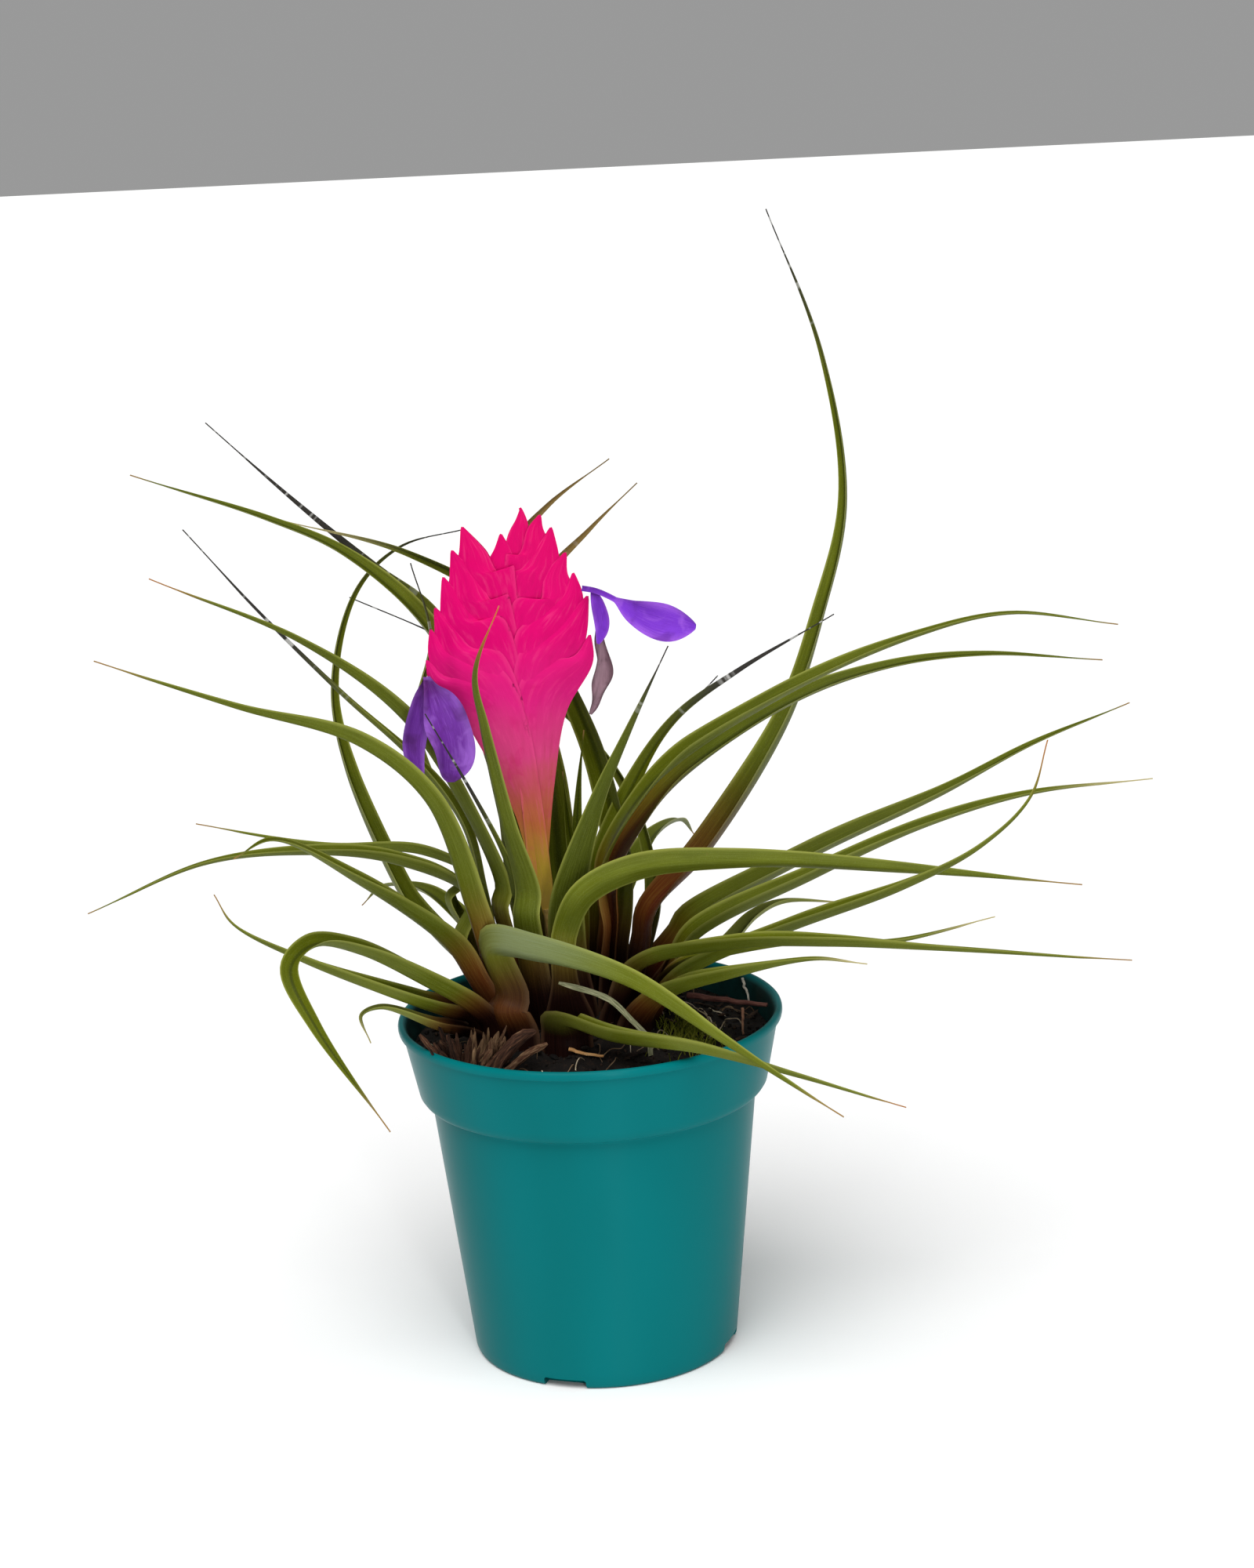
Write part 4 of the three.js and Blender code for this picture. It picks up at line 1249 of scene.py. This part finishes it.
@dataclass
class Rosette:
    """Forty strap leaves whose sheaths wrap one another round the crown."""

    leaves: list[Leaf]
    x: float = -5.0
    y: float = 0.0
    foot: float = 86.6
    first_radius: float = 4.4
    pitch: float = 1.2
    planes: tuple[Pair, ...] = ((93, 1.25), (99, 1.5), (106, 1.8), (114, 2.0), (123, 2.0))  # heights, steps
    laid_spread: float = 1.1  # width that a sheath keeps clear, over the blade's
    wrap: Pair = (16.0, 36.0)  # radii between which a wrap becomes a channel
    fold: Pair = (36.0, 18.0)  # degrees that each half rises, in the blade and at the tip
    bow: float = 0.05  # how round the channel's bottom is
    sheath_spread: float = 1.35
    sheath_end: Pair = (2.0, 21.0)
    taper: Pair = (1.8, 1.35)
    narrowed: dict[Tip, float] = field(default_factory=lambda: {Tip.NEEDLE: 0.62, Tip.DARK: 0.76})
    narrowest: float = 0.35
    thickness: Pair = (0.85, 0.4)
    sway: float = 7.0
    ripple: float = 0.3
    ease: float = 1.12
    steps: int = 96
    places: int = 13
    seed: int = 100
    finish: LeafSkin = field(default_factory=LeafSkin)

    def clear_radius(self, strip: Strip, inner: list[Strip], pitch: float) -> float:
        """Find the smallest radius at which a strip clears the ones inside it.

        Args:
            strip: The strip.
            inner: The strips that are already laid at its height.
            pitch: The step that it keeps from them.

        Returns:
            The radius.
        """
        radius = strip.radius
        for other in inner:
            apart = abs(math.remainder(strip.bearing - other.bearing, CIRCLE))
            if apart < 0.5 * strip.width / radius + 0.5 * other.width / other.radius + 0.1:
                radius = max(radius, other.radius + pitch + strip.width**2 / (32 * other.radius))
        return radius

    def on_circle(self, strip: Strip, height: float) -> np.ndarray:
        """Return the place of a strip at a height."""
        return np.array([self.x, self.y, 0.0]) + around(strip.radius, strip.bearing, height)

    def lay(self) -> list[tuple[Strip, Strand]]:
        """Lay the midribs from the inside out: each stands outside the ones it wraps, then runs free.

        Returns:
            Each leaf's place on the crown and its midrib.
        """
        layers: list[list[Strip]] = [[] for _ in self.planes]
        roots: list[Strip] = []
        laid = []
        for leaf in self.leaves:
            shoulder = leaf.midrib[0]
            root = Strip(math.atan2(shoulder[1] - self.y, shoulder[0] - self.x), self.first_radius, 0.0)
            for _ in range(3):
                root.width = min(leaf.width * self.laid_spread, root.radius * 1.9)
                root.radius = self.clear_radius(root, roots, self.pitch)
            roots.append(root)
            foot = self.on_circle(root, self.foot)
            natural = Strand([foot, foot + (0, 0, 7), *leaf.midrib]).at(np.linspace(0, 1, 61))
            guides = [foot + (0, 0, 3)]
            for k, (height, pitch) in enumerate(self.planes):
                if height > shoulder[2] - 3:
                    continue
                away = natural[int(np.argmax(natural[:, 2] >= height))][:2] - (self.x, self.y)
                width = float(mix(root.width, leaf.width, k / (len(self.planes) - 1)))
                strip = Strip(math.atan2(away[1], away[0]), float(np.hypot(*away)), width)
                strip.radius = self.clear_radius(strip, layers[k], pitch)
                layers[k].append(strip)
                guides.append(self.on_circle(strip, height))
            laid.append((root, Strand([foot, *guides, *leaf.midrib])))
        return laid

    def half_width(self, leaf: Leaf, root: Strip, rail: Rail) -> np.ndarray:
        """Work out half the leaf's width along it, from the sheath to the fine tip.

        Args:
            leaf: The leaf's own sizes.
            root: Its place on the crown.
            rail: Its midrib.

        Returns:
            Half its width at each step.
        """
        part, run = rail.part, rail.part * rail.length
        first, second = self.taper
        taper = np.maximum(1 - part**first, 0) ** second
        if leaf.tip in self.narrowed:
            taper = taper * mix(1.0, self.narrowed[leaf.tip], smooth(part, 0.3, 0.62))
        taper = taper * mix(leaf.neck, 1.0, smooth(run, 24, 70)) * mix(1.0, leaf.slim, smooth(run, 20, 50))
        sheath = min(leaf.width * self.sheath_spread, root.radius * 2.2)
        width = mix(sheath, leaf.width * taper, smooth(run, *self.sheath_end))
        return np.maximum(width, self.narrowest) * 0.5

    def looks(
        self, leaf: Leaf, rail: Rail, out: np.ndarray, random: np.random.Generator
    ) -> dict[str, Number]:
        """Work out the marks that colour one leaf.

        Args:
            leaf: The leaf's own looks.
            rail: Its midrib.
            out: Its distance from the crown's axis at each step.
            random: Where its small differences come from.

        Returns:
            The marks by their names.
        """
        part, run, height = rail.part, rail.part * rail.length, rail.point[:, 2]
        start, char = leaf.tip.value
        husk = 6.0 + random.uniform(-2, 3)
        # near the crown's axis: painted shade through the sheath mark, and a red tint through the blush mark
        inside = (1 - smooth(out, 20, 36)) * leaf.crown_shade
        blush = 0.85 * (1 - smooth(run, leaf.blush * 0.7, leaf.blush * 1.7))
        return {
            "tone": leaf.tone.value + float(random.uniform(-0.06, 0.06)),
            "dry": smooth(part, start, min(start + 0.22, 1.0)),
            "char": char * smooth(part, start - 0.12, start + 0.1),
            "silver": smooth(run, 28, 38) * (1 - smooth(part, leaf.silver - 0.12, leaf.silver + 0.12)),
            # sheath: the real husk at the leaf's foot, and painted shade near the crown below about 118 mm
            "sheath": np.maximum(1 - smooth(run, husk, husk + 12), inside * (1 - smooth(height, 100, 118))),
            "blush": np.maximum(blush, 0.5 * inside * (1 - smooth(height, 104, 122))),
        }

    def blade(self, leaf: Leaf, root: Strip, strand: Strand, number: int) -> bpy.types.Mesh:
        """Build one leaf: a wrapping sheath that opens into a channelled blade with a fine tip.

        Args:
            leaf: The leaf's own sizes and looks.
            root: Its place on the crown.
            strand: Its midrib.
            number: Its number, which also seeds its small irregularities.

        Returns:
            The leaf's mesh.
        """
        random = np.random.default_rng(self.seed + number)
        part, across = np.linspace(0, 1, self.steps) ** self.ease, np.linspace(-1, 1, self.places)
        rail = Rail.along(strand, part, (-math.sin(root.bearing), math.cos(root.bearing), 0))
        sway = random.uniform(-self.sway, self.sway) * np.sin(part * math.pi * random.uniform(1.0, 2.2))
        rail = rail.turned(sway * smooth(part, 0.15, 0.7))
        width = self.half_width(leaf, root, rail)
        out = np.maximum(np.hypot(rail.point[:, 0] - self.x, rail.point[:, 1] - self.y), 3.0)
        freed = smooth(out, *self.wrap)[:, None]
        fold = np.radians(mix(*self.fold, smooth(part, 0.45, 1.0)))[:, None]
        flat = self.bow**0.5
        bow = (np.sqrt(across**2 + self.bow) - flat) / ((1 + self.bow) ** 0.5 - flat)
        turn = np.minimum(width / out, 1.3)[:, None] * across[None]
        aside = mix(out[:, None] * np.sin(turn), width[:, None] * across[None] * np.cos(fold), freed)
        up = mix(out[:, None] * (1 - np.cos(turn)), width[:, None] * np.sin(fold) * bow[None], freed)
        run = (part * strand.length)[:, None]
        wave = np.sin(run / random.uniform(9, 15) + random.uniform(0, 6) + across[None])
        wave = self.ripple * wave * across[None] ** 2
        up = up + wave * freed * smooth(width, 0.5, 3.0)[:, None]
        shell = Shell()
        looks = self.looks(leaf, rail, out, random)
        shell.add_sheet(rail, width, aside, up, mix(*self.thickness, part), **looks)
        return shell.mesh(f"blade_{number:02d}")

    def dress(self) -> None:
        """Build every leaf and give it its finish."""
        skin = self.finish.make()
        for number, (leaf, (root, strand)) in enumerate(zip(self.leaves, self.lay()), 1):
            place(self.blade(leaf, root, strand, number), skin, [f"leaf_{number:02d}"], crease=75)


@dataclass(frozen=True)
class Seat:
    """Where a bract sits: its rank's tips from the bottom up, its number, how far up, and its side."""

    tips: tuple[Pair, ...]
    number: int
    level: float  # from 0 at the foot of the paddle to 1
    rank: int  # -1 on the left and 1 on the right


@dataclass
class FlowerSpike:
    """The flat paddle of keeled pink bracts in two ranks, on its short scape."""

    y: float = -1.0
    axis: tuple[Pair, ...] = (
        *((-9.8, 115.2), (-10.8, 127.3), (-11.5, 139.8), (-12.9, 162.6)),
        *((-14.1, 183.1), (-13.6, 203.2), (-10.9, 222.9)),
    )
    left: tuple[Pair, ...] = (
        *((-36.4, 185.8), (-34.9, 193.6), (-33.4, 199.1), (-30.9, 206.8)),
        *((-28.3, 213.5), (-25.4, 219.3), (-15.8, 217.0)),
    )
    right: tuple[Pair, ...] = (
        *((4.9, 190.2), (4.8, 200.2), (1.5, 206.2), (-0.2, 211.5)),
        *((-3.5, 218.0), (-6.1, 221.3), (-10.9, 223.3)),
    )
    starts: Pair = (116.5, 192.0)
    stagger: Pair = (0.12, 0.31)  # how far the two ranks stand apart
    opening: Pair = (13.0, 8.0)  # degrees that a bract opens on each side of its keel
    hollow: Pair = (5.0, -3.0)  # how far a keel curves in
    inset: Pair = (0.8, 2.8)  # how far a keel stays inside the next lower tip
    point: Pair = (0.8, 1.25)  # how wide a tip is
    reach: float = 17.0
    lap: float = 0.25
    tuck: float = 0.22
    ripple: float = 0.1
    thickness: float = 0.5
    scape: tuple[Point, ...] = ((-5, 0, 86.3), (-6.5, -0.4, 97), (-8.4, -0.8, 107), (-9.8, -1.0, 119))
    scape_radii: Pair = (2.3, 0.9)
    scape_skin: BarkFinish = BarkFinish("scape_skin", ink(92, 60, 30), ink(150, 128, 60), ink(190, 150, 96))

    def __post_init__(self) -> None:
        """Lay the axis that the bracts stand on."""
        self.stalk = Strand([(x, self.y, z) for x, z in self.axis])

    def axis_at(self, z: float) -> np.ndarray:
        """Return the point of the axis at a height."""
        return np.array([np.interp(z, self.stalk.track[:, 2], self.stalk.track[:, k]) for k in range(3)])

    def keel(self, seat: Seat) -> Strand:
        """Lay one bract's keel: an outer one bows out alone, any other follows the outline to its tip.

        Args:
            seat: Where the bract sits.

        Returns:
            The keel.
        """
        tips, number, rank = seat.tips, seat.number, seat.rank
        y = rank * float(mix(*self.stagger, seat.level))
        start = self.axis_at(float(mix(*self.starts, seat.level))) + (0, y, 0)
        end = np.array([tips[number][0], self.y + y, tips[number][1]])
        if number in (0, len(tips) - 1):
            bow = float(mix(*self.hollow, math.sqrt(seat.level))) * (2.2 if number and rank < 0 else 1.0)
            bends = ((0.45, bow), (0.72, bow), (0.9, -1.6))
            guides = [start + (end - start) * part - (rank * deep, 0, 0) for part, deep in bends]
            return Strand([start, *guides, end])
        inset = float(mix(*self.inset, seat.level))
        last = np.array([tips[number - 1][0] - rank * inset, self.y + y, tips[number - 1][1]])
        low = start + (last - start) * 0.7 - (rank * 1.5, 0, 0)
        if number > 1:
            low = np.array([tips[number - 2][0] - rank * (inset + 1.4), self.y + y, tips[number - 2][1]])
        return Strand([start, start + (low - start) * 0.5 - (rank * 1.5, 0, 0), low, last, end])

    def add_bract(self, shell: Shell, seat: Seat) -> None:
        """Add one bract, folded along a keel that runs up the paddle's outline to its tip.

        Args:
            shell: What it is added to.
            seat: Where the bract sits.
        """
        level, rank, keel = seat.level, seat.rank, self.keel(seat)
        part, across = np.linspace(0, 1, 60) ** 0.9, np.linspace(-1, 1, 25)
        deep, hand = np.abs(across)[None], np.sign(across)[None]
        rail = Rail.along(keel, part, (0, rank, 0))
        middle = np.array([abs(p[0] - self.axis_at(p[2])[0]) for p in rail.point]) + 3
        narrow = float(mix(*self.point, level)) * (1 - part) * keel.length + 0.25
        soft = -2.0 * np.log(np.exp(-middle / 2) + np.exp(-narrow / 2) + np.exp(-self.reach / 2) + 1e-9)
        reach = np.maximum(soft * mix(0.3, 1.0, smooth(part * keel.length, 0.0, 9.0)), 0.25)
        angle = math.radians(float(mix(*self.opening, level)))
        swell = reach[:, None] * math.sin(angle) * (1 - (1 - deep) ** 1.7)
        swell = swell * (1 - self.tuck * smooth(deep, 0.6, 1.0))
        swell = swell + self.lap * (1 - level) * smooth(deep, 0.05, 0.5) * smooth(reach, 0.5, 6)[:, None]
        random = np.random.default_rng(int(40 + 10 * level * 7 + rank))
        ripple = np.sin(part[:, None] * random.uniform(9, 14) + across[None] * 4 + random.uniform(0, 6))
        ripple = ripple * deep**2
        aside = hand * swell + self.ripple * ripple * smooth(reach, 1, 5)[:, None] * hand
        up = reach[:, None] * math.cos(angle) * deep
        marks = {"across": deep, "tone": float(random.uniform(0, 30)), "left": float(rank < 0)}
        shell.add_sheet(rail, reach, aside, up, self.thickness, **marks)

    def build(self) -> bpy.types.Mesh:
        """Build the paddle, rank by rank.

        Returns:
            The paddle's mesh.
        """
        whole = Shell()
        for tips, rank in ((self.left, -1), (self.right, 1)):
            for k in range(len(tips)):
                level = (k + (0.5 if rank > 0 else 0.0)) / len(tips)
                self.add_bract(whole, Seat(tips, k, level, rank))
        return whole.mesh("bracts")

    def dress(self) -> None:
        """Build the paddle and the scape and give them their finishes."""
        place(self.build(), BractSkin().make(), ["quill"], crease=75)
        stem = Shell()
        stem.add_rod(Strand(self.scape), self.scape_radii, 30, 20, shade=0.6, tone=1.0)
        place(stem.mesh("scape_stem"), self.scape_skin.make(), ["scape"], crease=50)


@dataclass(frozen=True)
class Petal:
    """One petal: its width, how far it folds, its middle line and its ruffle."""

    width: float
    fold: float
    line: tuple[Point, ...]
    ruffle: float
    claw: float = 0.0  # the part of its length that is a thin claw
    belly: float = 1.0  # above 1, it is widest nearer its end


@dataclass
class Blossom:
    """One flower: soft petals that hang from a claw beside the paddle."""

    node: str
    slot: str
    side: Point
    skin: PetalSkin
    petals: tuple[Petal, ...]
    steps: int = 44
    places: int = 21
    narrowest: float = 0.45
    thickness: float = 0.28

    def build(self) -> bpy.types.Mesh:
        """Build the flower.

        Returns:
            Its mesh.
        """
        shell = Shell()
        part, across = np.linspace(0, 1, self.steps), np.linspace(-1, 1, self.places)[None]
        for number, petal in enumerate(self.petals):
            rail = Rail.along(Strand(petal.line), part, unit(self.side))
            spread = np.clip((part - petal.claw) / (1 - petal.claw), 0, 1) ** petal.belly
            width = petal.width * np.sin(np.pi * np.minimum(0.02 + 0.96 * spread, 1)) ** 0.68
            width = np.maximum(width, self.narrowest) * 0.5
            fold = math.radians(petal.fold)
            wave = np.sin(part[:, None] * 11 + across * 2.5 + number * 2) * np.abs(across) ** 1.5
            up = width[:, None] * math.sin(fold) * across**2
            up = up + petal.ruffle * wave * smooth(width, 0.5, 3)[:, None]
            aside = width[:, None] * across * math.cos(fold)
            shell.add_sheet(rail, width, aside, up, self.thickness, tone=float(number * 7))
        return shell.mesh(self.node + "_petals")

    def dress(self) -> None:
        """Build the flower and give it its finish."""
        place(self.build(), self.skin.make(), [self.node], crease=80)


BLOSSOMS = [
    Blossom(
        "flower_left",
        "petals",
        (0.9, 0.4, 0.0),
        PetalSkin("faded_petals", ink(98, 40, 140), ink(146, 92, 190), ink(64, 18, 78)),
        (
            Petal(
                *(6.5, 20, ((-36.9, -3.4, 181), (-38.8, -8, 174.5), (-40.7, -10, 165), (-39.4, -11, 155.5))),
                ruffle=0.3,
            ),
            Petal(
                *(13, 18, ((-36.7, -3.6, 182), (-34, -9, 176), (-31, -13, 166), (-31.7, -14, 157))),
                ruffle=1.3,
                belly=1.35,
            ),
        ),
    ),
    Blossom(
        "flower_right",
        "petals",
        (0.25, 0.1, 1.0),
        PetalSkin("petals", ink(114, 48, 188), ink(152, 88, 206), ink(88, 28, 140)),
        (
            Petal(
                9.8,
                16,
                (
                    *((3.6, -2.9, 202.6), (7, -4, 202), (11, -6, 200.4)),
                    *((17, -8, 196.8), (24, -10, 194.2), (31.5, -12, 193.2)),
                ),
                0.8,
                claw=0.3,
                belly=1.35,
            ),
            Petal(4.5, 20, ((6.2, -3, 202.4), (7.8, -4.6, 198), (8.4, -5.2, 193), (7, -5, 188.6)), 0.2),
        ),
    ),
    Blossom(
        "flower_withered",
        "withered_petals",
        (0.9, 0.4, 0.0),
        PetalSkin("withered_petals", ink(156, 124, 136), ink(72, 44, 54), ink(52, 30, 40)),
        (Petal(5.2, 30, ((6.8, 1.8, 191.6), (7.4, 2.4, 184), (6.6, 2.6, 176), (4, 2.6, 168.9)), 1.7),),
    ),
]


@dataclass(frozen=True)
class Rod:
    """One thin crooked rod: its solid, which also names its piece, its line, sizes and finish."""

    name: str
    line: tuple[Point, ...]
    radius: float
    wobble: float
    skin: BarkFinish

    def dress(self) -> None:
        """Build the rod and give it its finish."""
        random = np.random.default_rng(len(self.name) * 17)
        shake = random.uniform(-self.wobble, self.wobble, (9, 3))
        crooked = Strand(self.line).at(np.linspace(0, 1, 9)) + shake
        shell = Shell()
        shell.add_rod(Strand(crooked, 12), (self.radius, self.radius * 0.65), 60, 12, shade=0.6, tone=2.0)
        place(shell.mesh(f"{self.name}_piece"), self.skin.make(), [self.name])


RODS = [
    Rod(
        "twig",
        ((-5.4, -27.5, 89.6), (-1, -28.6, 88.6), (3.3, -29.4, 88.3)),
        0.5,
        0.25,
        BarkFinish("twig", ink(120, 74, 40), ink(206, 150, 92), ink(236, 196, 140)),
    ),
    Rod(
        "stick",
        ((26, 15, 88.6), (36, 8, 89), (46, 0.8, 89.4)),
        0.85,
        0.15,
        BarkFinish("stick", ink(50, 28, 26), ink(96, 58, 52), ink(140, 96, 84)),
    ),
    Rod(
        "root_thread",
        ((40.8, 20, 91), (41.2, 19.6, 88.6), (42.3, 18.2, 85.4)),
        0.4,
        0.25,
        BarkFinish("pale_root", ink(150, 140, 120), ink(204, 198, 182), ink(236, 232, 222)),
    ),
    Rod(
        "straw",
        ((39.4, -10, 92.6), (39.2, -10, 85.4)),
        0.42,
        0.12,
        BarkFinish("straw", ink(92, 60, 46), ink(148, 104, 82), ink(190, 150, 120)),
    ),
]


@dataclass
class LoosePieces:
    """Bark, twigs, roots and one dead leaf that stand or lie in the pot's top."""

    rods: list[Rod]
    fan: Point = (-31.0, -25.0, 84.0)
    fan_top: float = 96.0
    fan_slivers: int = 46
    fan_seed: int = 5
    curl: tuple[Point, ...] = ((-24, -32, 85.2), (-22, -31.6, 88.5), (-18, -30.6, 92.6), (-13.5, -29.6, 96))
    curls: tuple[tuple[Point, float], ...] = (  # how far each strip is shifted, and its width
        *(((0, 0, 0), 5.4), ((-1.6, 1.2, -1.0), 3.4)),
        *(((1.6, -1.2, -1.6), 2.6), ((-3.6, 0.6, -2.2), 2.4)),
    )
    dead_leaf: tuple[Point, ...] = (
        *((15, -30, 88), (14.5, -30, 92.5), (10.5, -30, 97.5)),
        *((5, -29, 103), (-7, -30, 108)),
    )
    dead_width: float = 1.9
    thickness: float = 0.7
    bark: BarkFinish = BarkFinish("bark", ink(26, 15, 10), ink(74, 46, 31), ink(150, 120, 88))
    dead: BarkFinish = BarkFinish("dead_leaf", ink(58, 62, 34), ink(104, 108, 76), ink(168, 166, 132))
    crown: BarkFinish = BarkFinish("crown", ink(30, 18, 14), ink(60, 36, 26), ink(92, 62, 44))

    def sliver(
        self,
        shell: Shell,
        points: Sequence[Sequence[float]],
        width: float,
        side: Point,
        shade: float,
        curl: float,
    ) -> None:
        """Add one splintered strip with ragged edges.

        Args:
            shell: What it is added to.
            points: Its middle line.
            width: Its width.
            side: The direction across it at its foot.
            shade: How pale it is, from 0 to 1.
            curl: How far its edges roll up, as a share of its width.
        """
        part, across = np.linspace(0, 1, 22), np.linspace(-1, 1, 9)[None]
        rail = Rail.along(Strand(points), part, unit(side))
        random = np.random.default_rng(int(abs(points[0][0] * 53 + points[-1][2] * 31)))
        ragged = np.convolve(random.uniform(0.7, 1.3, len(part) + 4), np.ones(5) / 5, "valid")
        half = 0.5 * width * (1 - 0.6 * part**2) * ragged
        half[-3:] *= (0.75, 0.5, 0.2)
        up = curl * half[:, None] * across**2 + 0.18 * np.sin(across * 9 + part[:, None] * 5)
        tone = float(points[0][0] * 3)
        shell.add_sheet(rail, half, half[:, None] * across, up, self.thickness, shade=shade, tone=tone)

    def build_fan(self) -> bpy.types.Mesh:
        """Build the fan of broken bark.

        Returns:
            Its mesh.
        """
        random, shell = np.random.default_rng(self.fan_seed), Shell()
        for k in range(self.fan_slivers):
            spread = k / (self.fan_slivers - 1) - 0.5
            foot = np.array(self.fan) + (13 * spread + random.uniform(-1, 1), random.uniform(-4.0, 3.0), 0)
            tall = (self.fan_top - foot[2]) * random.uniform(0.5, 1.0)
            head = foot + (9 * spread + random.uniform(-2, 2), random.uniform(-2.5, 2), tall)
            middle = (foot + head) / 2 + (random.uniform(-0.8, 0.8), random.uniform(-0.8, 0.8), 0.4)
            shade = 0.25 + 0.5 * float(smooth(spread, -0.2, 0.3)) + random.uniform(-0.2, 0.25)
            width, side = random.uniform(0.8, 2.3), (1, random.uniform(-0.9, 0.9), 0)
            self.sliver(shell, [foot, middle, head], width, side, shade, 0.5)
        return shell.mesh("bark_splinters")

    def build_curl(self) -> bpy.types.Mesh:
        """Build the curled strips of bark beside the fan.

        Returns:
            Their mesh.
        """
        shell = Shell()
        for k, (shift, width) in enumerate(self.curls):
            points = [np.array(p) + np.array(shift) * (0.6 + 0.4 * n) for n, p in enumerate(self.curl)]
            self.sliver(shell, points, width, (0.6, 0.8, 0), 0.3 + 0.14 * k, 0.8)
        return shell.mesh("bark_curls")

    def dress(self) -> None:
        """Build every loose piece and give it its finish, and the crown too."""
        bark = self.bark.make()
        place(self.build_fan(), bark, ["bark_fan"], crease=60)
        place(self.build_curl(), bark, ["bark_curl"], crease=60)
        for rod in self.rods:
            rod.dress()
        leaf = Shell()
        self.sliver(leaf, self.dead_leaf, self.dead_width, (0, 1, 0), 0.7, 0.6)
        place(leaf.mesh("dead_leaf_blade"), self.dead.make(), ["dry_leaf"], crease=75)
        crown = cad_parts["crown"].data.materials
        crown.clear()
        crown.append(self.crown.make())
        LOG.info("crown: its own mesh, with a bark finish")


@dataclass
class Studio:
    """Pale floor, soft lights and the camera."""

    lens: float = 72.0
    sensor: float = 36.0
    distance: float = 801.0
    elevation: float = 14.05
    roll: float = -2.8
    target: Point = (12.5, 0.0, 150.8)
    floor_half: float = 6000.0
    floor_shades: tuple[Colour, Colour] = (ink(252, 252, 252), ink(254, 254, 254))
    ambient: float = 0.32
    overhead_from: Point = (-0.1, -0.5, 1.0)
    overhead_power: float = 2.75
    overhead_spread: float = 50.0
    strip_at: Point = (0.21, -0.98, 0.22)
    strip_size: Pair = (0.06, 0.5)
    strip_power: float = 2.6
    strip_target: Point = (0.0, 0.0, 0.13)

    def camera(self) -> None:
        """Set up the camera at the height and angle that the plant is seen from."""
        tilt, roll = math.radians(self.elevation), math.radians(self.roll)
        back = Vector((0, -math.cos(tilt), math.sin(tilt)))
        right = Vector((1, 0, 0))
        up = right.cross(-back)
        across = right * math.cos(roll) + up * math.sin(roll)
        upward = up * math.cos(roll) - right * math.sin(roll)
        data = bpy.data.cameras.new("camera")
        data.lens, data.sensor_width, data.clip_start, data.clip_end = self.lens, self.sensor, 0.01, 50.0
        seat = bpy.data.objects.new("camera", data)
        where = (Vector(self.target) + back * self.distance) * MM
        seat.matrix_world = Matrix.Translation(where) @ Matrix((across, upward, back)).transposed().to_4x4()
        bpy.context.scene.collection.objects.link(seat)
        bpy.context.scene.camera = seat

    def hang(self, data: bpy.types.Light, place_at: Point, behind: Vector) -> None:
        """Hang one light.

        Args:
            data: The light.
            place_at: Where it hangs, in metres.
            behind: The direction away from what it lights.
        """
        light = bpy.data.objects.new(data.name, data)
        light.location = place_at
        light.rotation_euler = behind.to_track_quat("Z", "Y").to_euler()
        bpy.context.scene.collection.objects.link(light)

    def lights(self) -> None:
        """Hang the wide overhead light and the strip that draws the pot's highlight."""
        overhead = bpy.data.lights.new("overhead", "SUN")
        overhead.energy, overhead.angle = self.overhead_power, math.radians(self.overhead_spread)
        self.hang(overhead, (0.0, 0.0, 0.0), Vector(self.overhead_from))
        strip = bpy.data.lights.new("strip", "AREA")
        strip.shape, strip.energy = "RECTANGLE", self.strip_power
        strip.size, strip.size_y = self.strip_size
        self.hang(strip, self.strip_at, Vector(self.strip_at) - Vector(self.strip_target))

    def dress(self) -> None:
        """Set up the floor, the lights and the camera."""
        shell, half = Shell(), self.floor_half
        corners = [(-half, -half, 0), (half, -half, 0), (half, half, 0), (-half, half, 0)]
        shell.add(np.array(corners), [(0, 1, 2, 3)])
        floor = bpy.data.objects.new("floor", shell.mesh("floor"))
        paint = Paint("floor")
        pale = paint.blend(paint.band(paint.grain(3.0, 2), 0.3, 0.7), *self.floor_shades)
        floor.data.materials.append(paint.finish(pale, 0.9, 0.1))
        bpy.context.scene.collection.objects.link(floor)
        world = bpy.data.worlds.new("studio")
        world.use_nodes = True
        world.node_tree.nodes["Background"].inputs["Color"].default_value = (1.0, 1.0, 1.0, 1.0)
        world.node_tree.nodes["Background"].inputs["Strength"].default_value = self.ambient
        bpy.context.scene.world = world
        bpy.context.scene.view_settings.view_transform = "Standard"
        self.lights()
        self.camera()


def main() -> None:
    """Build the plant from the pot upwards, then the studio round it."""
    pot = NurseryPot()
    pot.dress()
    PottingMix(pot).dress()
    Rosette(LEAVES).dress()
    FlowerSpike().dress()
    for blossom in BLOSSOMS:
        blossom.dress()
    LoosePieces(RODS).dress()
    Studio().dress()


if __name__ == "__main__":
    logging.basicConfig(level=logging.INFO, format="%(message)s")
    main()
